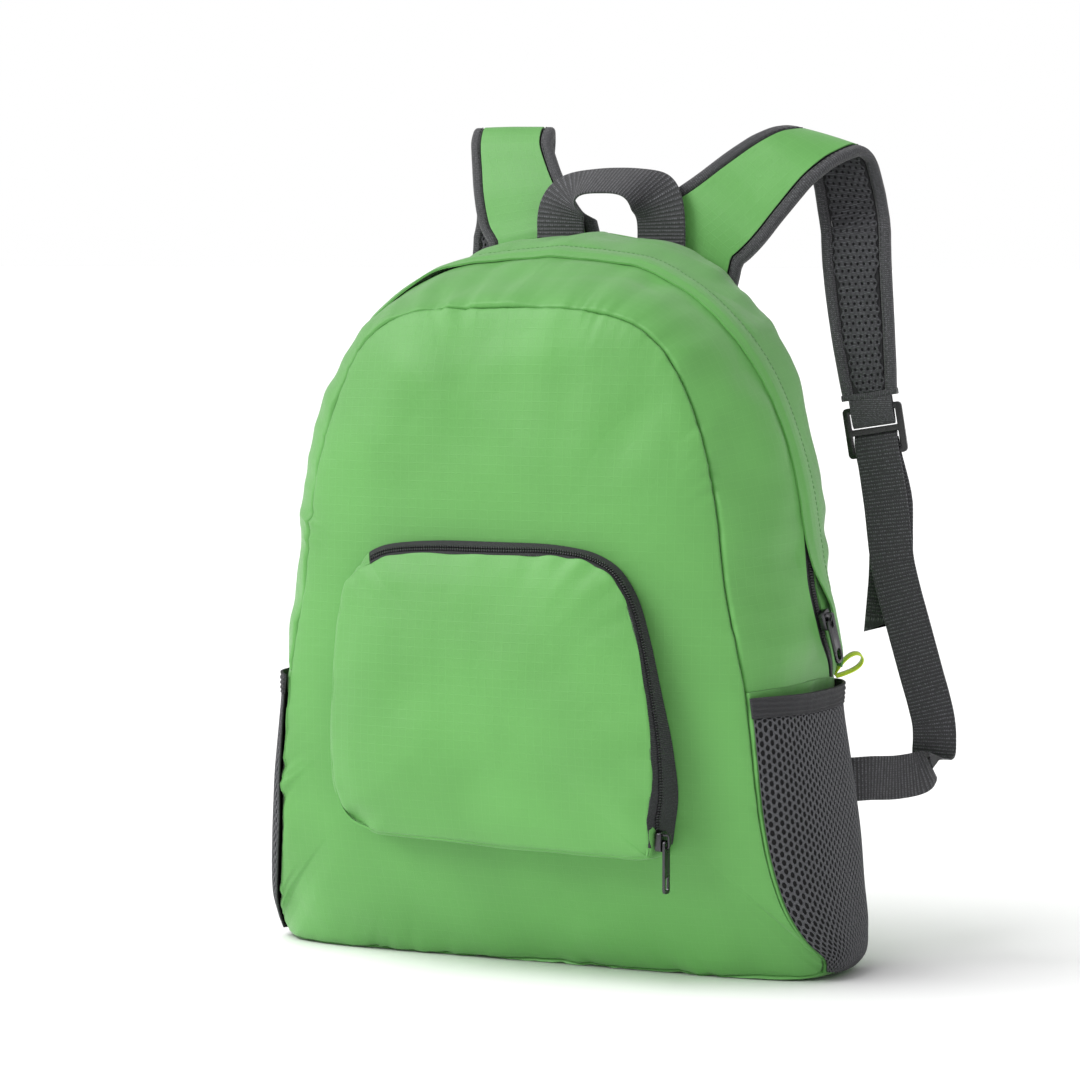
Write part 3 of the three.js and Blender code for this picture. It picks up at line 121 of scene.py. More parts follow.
# Soft folds: x, z, turn from upright in degrees, length, width and depth.
FRONT_FOLDS = (
    (-0.52, 0.7, -32, 0.16, 0.035, 0.7),
    (-0.3, 0.8, -58, 0.13, 0.03, 0.6),
    (0.42, 0.74, 30, 0.15, 0.035, -0.6),
    (0.1, 0.84, 80, 0.16, 0.03, 0.45),
    (0.62, 0.5, 8, 0.16, 0.04, 0.6),
    (-0.7, 0.36, 12, 0.15, 0.035, 0.8),
    (0.72, 0.2, -20, 0.1, 0.04, -0.7),
    (-0.5, 0.1, 70, 0.14, 0.03, 0.6),
    (0.3, 0.09, 96, 0.16, 0.028, -0.6),
)
BACK_FOLDS = (
    (-0.4, 0.6, -25, 0.18, 0.04, 0.7),
    (0.38, 0.55, 22, 0.2, 0.04, 0.6),
    (0.0, 0.3, 88, 0.2, 0.045, -0.6),
    (0.55, 0.2, -40, 0.13, 0.035, 0.7),
    (-0.55, 0.2, 38, 0.13, 0.035, 0.7),
)

# The front pocket's outline, once round from its lower right corner.
POCKET_COLUMNS = "x z stand inset"
POCKET_ROWS = (
    (0.897, 0.01, 0.95, 0.6),
    (0.945, 0.1, 1.0, 0.66),
    (0.968, 0.21, 0.98, 0.5),
    (0.95, 0.34, 0.88, 0.28),
    (0.895, 0.52, 0.73, 0.1),
    (0.83, 0.7, 0.6, 0.05),
    (0.757, 0.84, 0.52, 0.12),
    (0.635, 0.94, 0.46, 0.3),
    (0.455, 0.985, 0.43, 0.5),
    (0.18, 1.0, 0.41, 0.66),
    (-0.26, 1.0, 0.39, 0.75),
    (-0.63, 0.985, 0.37, 0.8),
    (-0.8, 0.95, 0.36, 0.9),
    (-0.9, 0.87, 0.36, 1.0),
    (-0.955, 0.75, 0.38, 1.0),
    (-0.99, 0.5, 0.44, 1.0),
    (-1.0, 0.28, 0.5, 1.0),
    (-0.97, 0.13, 0.54, 1.0),
    (-0.87, 0.045, 0.58, 1.0),
    (-0.68, 0.015, 0.62, 1.0),
    (-0.24, 0.005, 0.7, 1.0),
    (0.4, 0.0, 0.84, 1.0),
    (0.77, -0.005, 0.93, 0.8),
)

# Straps and webbing: share of half the width, share of the setback, share of the height, share of the
# strap's width, and the turns of its width towards +Y and +Z in degrees. Above the bag's top the height
# goes on in shares of the straps' rise.
STRAP_WIDTH = 54
STRAP_SETBACK = 40
STRAP_RISE = 58
STRAP_WALL = 6.4
STRAP_LIFT = STRAP_WALL / 2 + 0.9
LOCK_LENGTH = 29
LOCK_GAP = 5.3
RIBBON_COLUMNS = "x back z width yaw roll"
RIGHT_STRAP = (
    (0.195, 0.0, 0.912, 1.25, 0, -33),
    (0.27, 0.12, 0.955, 1.2, 0, -36),
    (0.379, 0.2, 1.16, 1.11, -4, -39),
    (0.461, 0.42, 1.43, 1.0, -6, -40),
    (0.555, 0.56, 1.7, 0.89, -5, -33),
    (0.62, 0.8, 1.84, 0.84, -2, -25),
    (0.663, 1.05, 1.88, 0.82, 0, -17),
    (0.69, 1.27, 1.74, 0.8, 3, -10),
    (0.715, 1.3, 1.45, 0.78, 6, -4),
    (0.743, 1.2, 1.15, 0.77, 8, 0),
    (0.77, 1.04, 0.954, 0.74, 10, 2),
    (0.79, 1.03, 0.869, 0.69, 12, 3),
    (0.808, 1.05, 0.8, 0.62, 13, 6),
    (0.816, 1.06, 0.771, 0.58, 13, 9),
)
LEFT_STRAP = (
    (-0.217, 0.0, 0.912, 1.36, 0, 12),
    (-0.251, 0.1, 0.961, 1.33, 0, 12),
    (-0.32, 0.22, 1.1, 1.24, 0, 9),
    (-0.377, 0.36, 1.4, 1.12, 0, 6),
    (-0.417, 0.53, 1.66, 1.03, 0, 3),
    (-0.446, 0.68, 1.88, 0.98, 0, 1),
    (-0.457, 0.86, 2.0, 0.98, 0, 0),
    (-0.474, 1.03, 1.93, 0.97, 0, 0),
    (-0.484, 1.11, 1.67, 0.94, -2, 2),
    (-0.49, 1.1, 1.2, 0.9, -4, 4),
    (-0.52, 1.08, 0.95, 0.85, -6, 8),
    (-0.6, 1.08, 0.87, 0.78, -8, 12),
    (-0.69, 1.08, 0.805, 0.67, -10, 10),
    (-0.735, 1.09, 0.771, 0.62, -10, 6),
)
WEBBING_COLUMNS = "x back z yaw roll"
WEBBING_ROWS = (
    (0.868, 1.22, 0.61, 22, 5),
    (0.885, 1.26, 0.54, 24, 4),
    (0.93, 1.32, 0.46, 25, 8),
    (0.98, 1.38, 0.38, 28, 14),
    (1.02, 1.4, 0.315, 34, 26),
    (1.03, 1.28, 0.268, 48, 52),
    (1.0, 1.02, 0.247, 62, 76),
    (0.95, 0.66, 0.244, 60, 84),
    (0.9, 0.3, 0.246, 40, 87),
    (0.85, 0.1, 0.245, 20, 88),
    (0.78, 0.01, 0.242, 10, 88),
    (0.7, 0.0, 0.24, 10, 88),
)
TAIL_ROWS = (
    (0.87, 1.36, 0.62, 20, 4),
    (0.86, 1.48, 0.53, 20, -2),
    (0.84, 1.54, 0.45, 18, -8),
)


class RowCurves:
    """Smooth curves through the columns of a short table, which never overshoot its rows."""

    def __init__(self, columns: str, rows: Sequence[Sequence[float]], level_ends: bool = False) -> None:
        """Works out the slopes at the rows.

        Args:
            columns: the columns' names, with spaces between them.
            rows: the table.
            level_ends: True where the curves are mirrored at both ends.
        """
        self.columns = columns.split()
        self.values = np.array(rows, float)
        steps = np.diff(self.values, axis=0)
        product = steps[:-1] * steps[1:]
        total = np.where(product > 0, steps[:-1] + steps[1:], 1.0)
        self.slopes = np.zeros_like(self.values)
        self.slopes[1:-1] = np.where(product > 0, 2 * product / total, 0.0)
        if not level_ends:
            self.slopes[0], self.slopes[-1] = steps[0], steps[-1]

    def at(self, name: str, row: Array | float) -> Array:
        """A column's value at row numbers that needn't be whole.

        Args:
            name: the column.
            row: the row numbers.

        Returns:
            The values, one for each row number.
        """
        column = self.columns.index(name)
        value, slope = self.values[:, column], self.slopes[:, column]
        last = len(value) - 1
        row = np.clip(np.asarray(row, float), 0, last)
        i = np.minimum(row.astype(int), last - 1)
        t = row - i
        t2, t3 = t * t, t * t * t
        return (
            (2 * t3 - 3 * t2 + 1) * value[i]
            + (t3 - 2 * t2 + t) * slope[i]
            + (3 * t2 - 2 * t3) * value[i + 1]
            + (t3 - t2) * slope[i + 1]
        )


def unit(vectors: Array) -> Array:
    """The same directions with a length of one."""
    return vectors / np.maximum(np.linalg.norm(vectors, axis=-1, keepdims=True), 1e-12)


def vec(*parts: Array | float) -> Array:
    """Stacks three coordinates, of any matching shapes, into points."""
    return np.stack(np.broadcast_arrays(*parts), axis=-1).astype(float)


def lumps(points: Array, size: float, seed: int) -> Array:
    """Smooth noise from about -1 to 1.

    Args:
        points: where it is wanted, with three coordinates each.
        size: the size of a lump, in the points' unit.
        seed: which noise.

    Returns:
        One value for each point.
    """
    flat = (points.reshape(-1, 3) / size + seed * 13.7).tolist()
    return np.array([noise.noise(p) for p in flat]).reshape(points.shape[:-1]) * 1.6


def creases(points: Array, size: float, seed: int, sharpness: float = 3.0) -> Array:
    """Thin crease lines: 1 along them and 0 between, with cells of a size."""
    return np.clip(1 - np.abs(lumps(points, size, seed)) * 1.4, 0, 1) ** sharpness


def grid_normals(points: Array, towards: Array) -> Array:
    """The normals of a grid of points.

    Args:
        points: rows and columns of points.
        towards: directions that the normals have to agree with, on the whole.

    Returns:
        One unit normal for each point.
    """
    normal = unit(np.cross(np.gradient(points, axis=0), np.gradient(points, axis=1)))
    return normal if np.mean(np.sum(normal * towards, axis=-1)) > 0 else -normal


def smoothstep(low: float, high: float, value: Array) -> Array:
    """0 below low, 1 above high and a soft rise between them."""
    t = np.clip((value - low) / (high - low), 0, 1)
    return t * t * (3 - 2 * t)


@dataclass(frozen=True)
class BagShape:
    """The shell's surfaces, in millimetres, as the solids have them."""

    width: float = 350
    height: float = 408
    depth: float = 118
    lean: float = -6
    bulge: float = 27
    front_crown: float = 14
    back_crown: float = 6
    front_tuck: float = 24
    back_tuck: float = 16
    fold_depth: float = 4
    middle: float = 0.47 * 408
    ring_width: float = 0.82 * 350 / 2
    ring_height: float = 0.46 * 408

    @property
    def half(self) -> float:
        """Half the width."""
        return self.width / 2

    @property
    def band_reach(self) -> float:
        """Nearly the length of the band from seam to seam."""
        return self.depth + self.bulge

    @staticmethod
    @lru_cache
    def seams() -> RowCurves:
        """The curves of the seam table."""
        return RowCurves(SEAM_COLUMNS, SEAM_ROWS, level_ends=True)

    def row_and_side(self, s: Array) -> tuple[Array, Array]:
        """A loop station's row in the table, and 1 on the right or -1 on the left."""
        wrapped = np.mod(s, LOOP)
        right = wrapped <= TOP
        return np.where(right, wrapped, LOOP - wrapped), np.where(right, 1.0, -1.0)

    def column(self, name: str, s: Array) -> Array:
        """A column of the seam table at loop stations."""
        return self.seams().at(name, self.row_and_side(s)[0])

    def seam(self, seam: Seam, s: Array) -> Array:
        """Points of a seam at loop stations."""
        row, side = self.row_and_side(np.asarray(s, float))
        z = self.seams().at(seam.value + "z", row)
        lean = self.lean * z if seam is Seam.FRONT else 0.0
        x = side * self.seams().at(seam.value + "x", row) * self.half + lean
        return vec(x, self.seams().at(seam.value + "y", row) * self.depth, z * self.height)

    def outward(self, s: Array) -> Array:
        """The direction out of the bag, across the seams."""
        step = 0.05
        along = self.seam(Seam.FRONT, s + step) + self.seam(Seam.BACK, s + step)
        along -= self.seam(Seam.FRONT, s - step) + self.seam(Seam.BACK, s - step)
        return unit(vec(along[..., 2], 0.0, -along[..., 0]))

    def band(self, s: Array, g: Array) -> Array:
        """Points of the band: g runs from 0 at the front seam to 1 at the back one."""
        hump = 1 - np.abs(2 * g - 1) ** 2.6
        share = np.asarray(g)[..., None]
        flat = self.seam(Seam.FRONT, s) * (1 - share) + self.seam(Seam.BACK, s) * share
        swell = self.column("bulge", s) * self.bulge * hump
        return flat + self.outward(s) * swell[..., None]

    def band_normal(self, s: Array, g: Array) -> Array:
        """The band's outward normals."""
        g = np.clip(g, 0.004, 0.996)
        along = self.band(s + 0.02, g) - self.band(s - 0.02, g)
        across = self.band(s, g + 0.004) - self.band(s, g - 0.004)
        normal = unit(np.cross(along, across))
        sign = np.sign(np.sum(normal * self.outward(s), axis=-1, keepdims=True))
        return normal * np.where(sign == 0, 1, sign)

    def arc(self, s: Array) -> Array:
        """The length along the band from the middle of the base."""
        dense = np.linspace(-LOOP, 2 * LOOP, 6001)
        steps = np.linalg.norm(np.diff(self.band(dense, np.full_like(dense, 0.5)), axis=0), axis=-1)
        return np.interp(s, dense, np.concatenate([[0], np.cumsum(steps)]))

    def ring_share(self, edge: Array, r: Array) -> Array:
        """How near the middle a ring runs: it has the seam's shape outside and is rounder inside."""
        dx, dz = edge[..., 0], edge[..., 2] - self.middle
        reach = np.hypot(dx, dz)
        round_reach = 1 / np.hypot(dx / reach / self.ring_width, dz / reach / self.ring_height)
        shape = r * r
        return r * (shape + (1 - shape) * np.minimum(1, round_reach / reach))

    def folds(self, seam: Seam, x: Array, z: Array) -> Array:
        """How far the soft folds push a panel out."""
        rows = FRONT_FOLDS if seam is Seam.FRONT else BACK_FOLDS
        height = np.zeros(np.broadcast(x, z).shape)
        for fold_x, fold_z, turn, length, width, depth in rows:
            dx, dz = x - fold_x * self.half, z - fold_z * self.height
            sin, cos = math.sin(math.radians(turn)), math.cos(math.radians(turn))
            along = (dx * sin + dz * cos) / (length * self.height)
            across = (dx * cos - dz * sin) / (width * self.height)
            height += depth * self.fold_depth * np.exp(-along * along - across * across)
        return height * (self.clear_of_pocket(x, z) if seam is Seam.FRONT else 1.0)

    @staticmethod
    def clear_of_pocket(x: Array, z: Array) -> Array:
        """0 on and round the front pocket and 1 well clear of it."""
        away = np.maximum(np.abs(x) - POCKET_HALF_WIDTH, np.abs(z - POCKET_MIDDLE) - POCKET_HALF_HEIGHT)
        return smoothstep(20, 60, away)

    def panel(self, seam: Seam, s: Array, r: Array) -> Array:
        """Points of the front or back panel: r runs from 0 at its middle to 1 at its seam."""
        front = seam is Seam.FRONT
        out = -1.0 if front else 1.0
        dome = self.front_crown if front else self.back_crown
        tuck = self.front_tuck if front else self.back_tuck
        crown = (FRONT_FOOT if front else BACK_FOOT) * self.depth + out * dome
        edge = self.seam(seam, s)
        share = self.ring_share(edge, r)
        x = edge[..., 0] * share
        z = self.middle + (edge[..., 2] - self.middle) * share
        fold = self.folds(seam, x, z) * (1 - r**6)

        def under(height: Array) -> Array:
            """How far the foot is drawn in at a height."""
            return tuck * np.maximum(0, 1 - height / (self.height / 2)) ** 3

        rest = (crown - edge[..., 1]) * out - dome - under(edge[..., 2])
        loss = dome * r**4 + under(z) + rest * r**12
        return vec(x, crown + out * (fold - loss), z)

    def panel_depth(self, seam: Seam, x: Array, z: Array) -> Array:
        """The depth of a panel's outer face at places seen from the front or back."""
        x, z = np.broadcast_arrays(np.asarray(x, float), np.asarray(z, float))
        target = np.arctan2(x, z - self.middle)
        low = np.where(target >= 0, 0.0, float(TOP))
        high = low + TOP
        for _ in range(34):
            halfway = (low + high) / 2
            edge = self.seam(seam, halfway)
            past = np.arctan2(edge[..., 0], edge[..., 2] - self.middle) < target
            high, low = np.where(past, halfway, high), np.where(past, low, halfway)
        edge = self.seam(seam, low)
        wanted = np.hypot(x, z - self.middle) / np.hypot(edge[..., 0], edge[..., 2] - self.middle)
        inside, outside = np.zeros_like(x), np.ones_like(x)
        for _ in range(26):
            halfway = (inside + outside) / 2
            short = self.ring_share(edge, halfway) < wanted
            inside, outside = np.where(short, halfway, inside), np.where(short, outside, halfway)
        return self.panel(seam, low, inside)[..., 1]


SHAPE = BagShape()


# ---- Finishes


class Shader:
    """Short calls for building one node tree."""

    def __init__(self, tree: bpy.types.NodeTree) -> None:
        """Keeps the tree."""
        self.tree = tree

    def add(self, kind: str, inputs: dict[Any, Any] | None = None, **settings: Any) -> bpy.types.Node:
        """Adds a node.

        Args:
            kind: its type.
            inputs: sockets to link and values to set, by the input's name or number.
            settings: the node's own settings.

        Returns:
            The node.
        """
        node = self.tree.nodes.new(kind)
        for name, value in settings.items():
            setattr(node, name, value)
        for name, value in (inputs or {}).items():
            if isinstance(value, bpy.types.NodeSocket):
                self.tree.links.new(value, node.inputs[name])
            else:
                node.inputs[name].default_value = value
        return node

    def maths(self, operation: str, *values: Any) -> bpy.types.NodeSocket:
        """A Math node's output, from sockets or numbers."""
        return self.add("ShaderNodeMath", dict(enumerate(values)), operation=operation).outputs[0]

    def ramp(self, value: Any, low: float, high: float, to: tuple[float, float]) -> bpy.types.NodeSocket:
        """A value taken softly from one range to another."""
        inputs = {"Value": value, "From Min": low, "From Max": high, "To Min": to[0], "To Max": to[1]}
        node = self.add("ShaderNodeMapRange", inputs, interpolation_type="SMOOTHSTEP")
        return node.outputs["Result"]

    def mix(self, share: Any, first: Any, second: Any) -> bpy.types.NodeSocket:
        """A colour between two."""
        node = self.add("ShaderNodeMix", data_type="RGBA")
        for name, value in (("Factor", share), ("A", first), ("B", second)):
            socket = next(s for s in node.inputs if s.name == name and s.enabled)
            if isinstance(value, bpy.types.NodeSocket):
                self.tree.links.new(value, socket)
            else:
                socket.default_value = value
        return next(s for s in node.outputs if s.enabled)


def shader_group(name: str, inputs: dict[str, float], outputs: Sequence[str]) -> tuple[Any, Shader, Any, Any]:
    """Starts a shader node group that takes a Vector and some numbers.

    Args:
        name: its name.
        inputs: its number inputs with their first values.
        outputs: its number outputs.

    Returns:
        The group, calls for building in it, its input node and its output node.
    """
    group = bpy.data.node_groups.new(name, "ShaderNodeTree")
    group.interface.new_socket("Vector", in_out="INPUT", socket_type="NodeSocketVector")
    for label, value in inputs.items():
        socket = group.interface.new_socket(label, in_out="INPUT", socket_type="NodeSocketFloat")
        socket.default_value = value
    for label in outputs:
        group.interface.new_socket(label, in_out="OUTPUT", socket_type="NodeSocketFloat")
    shader = Shader(group)
    return group, shader, shader.add("NodeGroupInput"), shader.add("NodeGroupOutput")


@lru_cache
def grid_group() -> bpy.types.NodeTree:
    """The group for ripstop's raised threads: lines at every pitch, both ways."""
    group, shader, given, out = shader_group("ripstop_grid", {"Pitch": 0.005, "Line": 0.06}, ["Lines"])
    parts = shader.add("ShaderNodeSeparateXYZ", {0: given.outputs["Vector"]})
    lines = []
    for axis in (0, 1):
        share = shader.maths("DIVIDE", parts.outputs[axis], given.outputs["Pitch"])
        away = shader.maths("PINGPONG", share, 0.5)
        node = shader.add(
            "ShaderNodeMapRange",
            {"Value": away, "From Min": 0.0, "From Max": given.outputs["Line"], "To Min": 1.0, "To Max": 0.0},
            interpolation_type="SMOOTHSTEP",
        )
        lines.append(node.outputs["Result"])
    shader.tree.links.new(shader.maths("MAXIMUM", *lines), out.inputs["Lines"])
    return group


@lru_cache
def weave_group() -> bpy.types.NodeTree:
    """The group for a plain or slanting weave: bumps at a pitch each way, with a slant between them."""
    sizes = {"Pitch Along": 0.0012, "Pitch Across": 0.0012, "Slant": 0.0, "Rows": 0.0}
    group, shader, given, out = shader_group("weave", sizes, ["Height"])
    parts = shader.add("ShaderNodeSeparateXYZ", {0: given.outputs["Vector"]})
    across = shader.maths("DIVIDE", parts.outputs[1], given.outputs["Pitch Across"])
    along = shader.maths("DIVIDE", parts.outputs[0], given.outputs["Pitch Along"])
    along = shader.maths("MULTIPLY_ADD", across, given.outputs["Slant"], along)
    turns = [shader.maths("SINE", shader.maths("MULTIPLY", v, 2 * math.pi)) for v in (along, across)]
    plain = shader.maths("MULTIPLY_ADD", shader.maths("MULTIPLY", *turns), 0.5, 0.5)
    ribs = shader.maths("MULTIPLY_ADD", turns[0], 0.5, 0.5)
    height = shader.maths("MULTIPLY_ADD", shader.maths("SUBTRACT", ribs, plain), given.outputs["Rows"], plain)
    shader.tree.links.new(height, out.inputs["Height"])
    return group


@lru_cache
def crumple_group() -> bpy.types.NodeTree:
    """The group for the small crumples of thin cloth, on object coordinates."""
    group, shader, given, out = shader_group("crumple", {"Size": 0.02}, ["Height"])
    scale = shader.maths("DIVIDE", 1.0, given.outputs["Size"])
    inputs = {"Vector": given.outputs["Vector"], "Scale": scale, "Detail": 3.0, "Roughness": 0.55}
    soft = shader.add("ShaderNodeTexNoise", inputs)
    lines = shader.maths("ABSOLUTE", shader.maths("SUBTRACT", soft.outputs["Fac"], 0.5))
    ridge = shader.ramp(lines, 0.0, 0.12, (1.0, 0.0))
    shader.tree.links.new(
        shader.maths("MULTIPLY_ADD", ridge, 0.08, soft.outputs["Fac"]), out.inputs["Height"]
    )
    return group


@dataclass(frozen=True)
class Finish:
    """A finish: a Principled shader, with what the kinds below lay under it."""

    name: str
    slot: str
    colour: Colour
    roughness: float = 0.8
    metallic: float = 0.0
    sheen: float = 0.0

    @lru_cache
    def material(self) -> bpy.types.Material:
        """The finish's material, made once."""
        material = bpy.data.materials.new(self.name)
        material.use_nodes = True
        shader = Shader(material.node_tree)
        bsdf = material.node_tree.nodes["Principled BSDF"]
        bsdf.inputs["Base Color"].default_value = (*self.colour, 1)
        bsdf.inputs["Roughness"].default_value = self.roughness
        bsdf.inputs["Metallic"].default_value = self.metallic
        bsdf.inputs["Sheen Weight"].default_value = self.sheen
        bsdf.inputs["Sheen Roughness"].default_value = 0.5
        self.weave(shader, bsdf)
        return material

    def weave(self, shader: Shader, bsdf: bpy.types.Node) -> None:
        """Adds what varies over the surface; a plain finish adds nothing."""

    def shade(self, share: float) -> tuple[float, float, float, float]:
        """The colour made lighter or darker by a share."""
        return (*(min(1.0, c * share) for c in self.colour), 1.0)

    def bump(self, shader: Shader, bsdf: bpy.types.Node, layers: Sequence[tuple[Any, float]]) -> None:
        """Feeds heights to the normal.

        Args:
            shader: the material's calls.
            bsdf: its Principled node.
            layers: each height with its depth in metres.
        """
        normal = None
        for height, depth in layers:
            inputs = {"Height": height, "Distance": depth, "Strength": 1.0}
            if normal is not None:
                inputs["Normal"] = normal
            normal = shader.add("ShaderNodeBump", inputs).outputs["Normal"]
        shader.tree.links.new(normal, bsdf.inputs["Normal"])


@dataclass(frozen=True)
class Ripstop(Finish):
    """Thin nylon with a grid of raised threads and small crumples."""

    pitch: float = 0.005
    crumple: float = 0.0004

    def weave(self, shader: Shader, bsdf: bpy.types.Node) -> None:
        """Adds the thread grid, the crumples and a faint unevenness of the dye."""
        uv = shader.add("ShaderNodeUVMap", uv_map="cloth").outputs[0]
        place = shader.add("ShaderNodeTexCoord").outputs["Object"]
        grid = shader.add("ShaderNodeGroup", node_tree=grid_group())
        shader.tree.links.new(uv, grid.inputs["Vector"])
        grid.inputs["Pitch"].default_value = self.pitch
        fine = shader.add("ShaderNodeGroup", node_tree=weave_group())
        shader.tree.links.new(uv, fine.inputs["Vector"])
        fine.inputs["Pitch Along"].default_value = 0.0006
        fine.inputs["Pitch Across"].default_value = 0.0006
        crumple = shader.add("ShaderNodeGroup", node_tree=crumple_group())
        shader.tree.links.new(place, crumple.inputs["Vector"])
        crumple.inputs["Size"].default_value = 0.019
        uneven = shader.add("ShaderNodeTexNoise", {"Vector": place, "Scale": 14.0, "Detail": 2.0})
        tone = shader.ramp(uneven.outputs["Fac"], 0.3, 0.7, (0.0, 1.0))
        ground = shader.mix(tone, self.shade(0.95), self.shade(1.05))
        shown = shader.maths("MULTIPLY", grid.outputs["Lines"], 0.24)
        colour = shader.mix(shown, ground, self.shade(1.24))
        shader.tree.links.new(colour, bsdf.inputs["Base Color"])
        heights = (crumple.outputs[0], grid.outputs["Lines"], fine.outputs[0])
        self.bump(shader, bsdf, list(zip(heights, (self.crumple, 0.00004, 0.00004))))


@dataclass(frozen=True)
class Woven(Finish):
    """Webbing, tape or binding: a weave that shows, with painted highlight on its raised threads and painted
    shade in the hollows between them.
    """

    along: float = 0.0013
    across: float = 0.0022
    slant: float = 0.0
    relief: float = 0.0003
    # light: how much lighter the painted highlight on the raised threads is; the hollows get painted shade at
    # 0.62 of the colour.
    light: float = 1.9
    rows: float = 0.0

    def weave(self, shader: Shader, bsdf: bpy.types.Node) -> None:
        """Adds the weave as relief, and paints highlight on the raised threads and shade in the hollows
        between them.
        """
        uv = shader.add("ShaderNodeUVMap", uv_map="cloth").outputs[0]
        group = shader.add("ShaderNodeGroup", node_tree=weave_group())
        shader.tree.links.new(uv, group.inputs["Vector"])
        group.inputs["Pitch Along"].default_value = self.along
        group.inputs["Pitch Across"].default_value = self.across
        group.inputs["Slant"].default_value = self.slant
        group.inputs["Rows"].default_value = self.rows
        fleck = shader.add("ShaderNodeTexNoise", {"Vector": uv, "Scale": 900.0, "Detail": 2.0})
        uneven = shader.ramp(fleck.outputs["Fac"], 0.3, 0.7, (0.5, 1.0))
        # Painted highlight on the raised threads and painted shade in the hollows, following the weave's
        # relief.
        painted_top_highlight = shader.ramp(shader.maths("MULTIPLY", group.outputs["Height"], uneven), 0.35, 0.9, (0.0, 1.0))
        colour = shader.mix(painted_top_highlight, self.shade(0.62), self.shade(self.light))
        shader.tree.links.new(colour, bsdf.inputs["Base Color"])
        self.bump(shader, bsdf, [(group.outputs["Height"], self.relief)])


@dataclass(frozen=True)
class Worn(Finish):
    """Metal or plastic with a slightly uneven gloss."""

    def weave(self, shader: Shader, bsdf: bpy.types.Node) -> None:
        """Adds the uneven gloss."""
        place = shader.add("ShaderNodeTexCoord").outputs["Object"]
        patches = shader.add("ShaderNodeTexNoise", {"Vector": place, "Scale": 220.0, "Detail": 3.0})
        gloss = shader.ramp(patches.outputs["Fac"], 0.3, 0.7, (self.roughness * 0.8, self.roughness * 1.2))
        shader.tree.links.new(gloss, bsdf.inputs["Roughness"])


@dataclass(frozen=True)
class EdgedRibbon(Finish):
    """The small loop's ribbon: bright, with a dark line along one edge."""

    edge: Colour = (0.05, 0.02, 0.06)

    def weave(self, shader: Shader, bsdf: bpy.types.Node) -> None:
        """Adds the edge line, from the width that the UV map carries."""
        uv = shader.add("ShaderNodeUVMap", uv_map="cloth").outputs[0]
        across = shader.add("ShaderNodeSeparateXYZ", {0: uv}).outputs[1]
        line = shader.ramp(across, 0.0014, 0.0017, (0.0, 1.0))
        shader.tree.links.new(shader.mix(line, self.shade(1), (*self.edge, 1)), bsdf.inputs["Base Color"])


CLOTH = Ripstop("green_ripstop", "cloth", (0.115, 0.365, 0.078), roughness=0.5, sheen=0.2)
# Webbing, binding, elastic, nets and tape below carry a painted highlight on their raised threads, set by
# light, and painted shade between them.
WEBBING = Woven(
    "charcoal_webbing",
    "trim",
    (0.045, 0.045, 0.05),
    roughness=0.7,
    sheen=0.15,
    along=0.0021,
    across=0.0013,
    relief=0.0005,
    light=2.9,
    rows=0.6,
)
BINDING = Woven(
    "charcoal_binding",
    "trim",
    (0.062, 0.062, 0.068),
    sheen=0.2,
    along=0.0011,
    across=0.0016,
    slant=0.8,
    light=2.6,
)
ELASTIC = Woven("charcoal_elastic", "trim", (0.04, 0.04, 0.044), along=0.0016, across=0.0011, relief=0.00015)
NET = Woven(
    "charcoal_net", "mesh", (0.105, 0.106, 0.115), along=0.0009, across=0.0009, light=1.8, relief=0.0001
)
STRAP_NET = Woven("dark_strap_net", "mesh", (0.06, 0.06, 0.067), along=0.0009, across=0.0009, relief=0.0001)
# Near-black sheet under the side pockets' nets: painted shade inside the pockets, seen through the holes.
NET_PAINTED_SHADE = Finish("dark_net_ground", "mesh", (0.008, 0.008, 0.009), roughness=0.95)
PAD = Finish("dark_padding", "mesh", (0.02, 0.02, 0.022), roughness=0.95)
TAPE = Woven("grey_zip_tape", "zip", (0.042, 0.042, 0.047), along=0.0012, across=0.0016, slant=0.7, light=2.2)
COIL = Finish("black_zip_coil", "zip", (0.035, 0.035, 0.038), roughness=0.22)
METAL = Worn("gunmetal", "metal", (0.085, 0.083, 0.09), roughness=0.32, metallic=1.0)
RIM = Worn("bright_rim", "metal", (0.42, 0.42, 0.44), roughness=0.22, metallic=1.0)
PLASTIC = Worn("black_plastic", "plastic", (0.012, 0.012, 0.013), roughness=0.24)
LOOP_RIBBON = EdgedRibbon("yellow_green_ribbon", "loop", (0.62, 0.8, 0.03), roughness=0.6, sheen=0.2)
THREAD = Finish("green_thread", "cloth", (0.075, 0.24, 0.055), roughness=0.7)
DARK_THREAD = Finish("dark_thread", "trim", (0.03, 0.03, 0.033), roughness=0.7)


# ---- Meshes


def mesh_object(
    name: str, points: Array, faces: list[list[int]], uv: Array, finish: Finish
) -> bpy.types.Object:
    """A smooth object from points in millimetres.

    Args:
        name: the piece's name.
        points: the vertices.
        faces: their numbers, face by face.
        uv: one place on the cloth for each vertex, in metres.
        finish: what it is made of.

    Returns:
        The object, with its faces out.
    """
    mesh = bpy.data.meshes.new(name)
    mesh.from_pydata((points.reshape(-1, 3) * MM).tolist(), [], faces)
    mesh.update()
    if signed_volume(mesh) < 0:
        mesh.flip_normals()
    layer = mesh.uv_layers.new(name="cloth")
    loops = np.empty(len(mesh.loops), int)
    mesh.loops.foreach_get("vertex_index", loops)
    layer.data.foreach_set("uv", uv.reshape(-1, 2)[loops].astype(np.float32).ravel())
    mesh.materials.append(finish.material())
    mesh.shade_smooth()
    mesh.set_sharp_from_angle(angle=math.radians(50))
    piece = bpy.data.objects.new(name, mesh)
    bpy.context.scene.collection.objects.link(piece)
    return piece


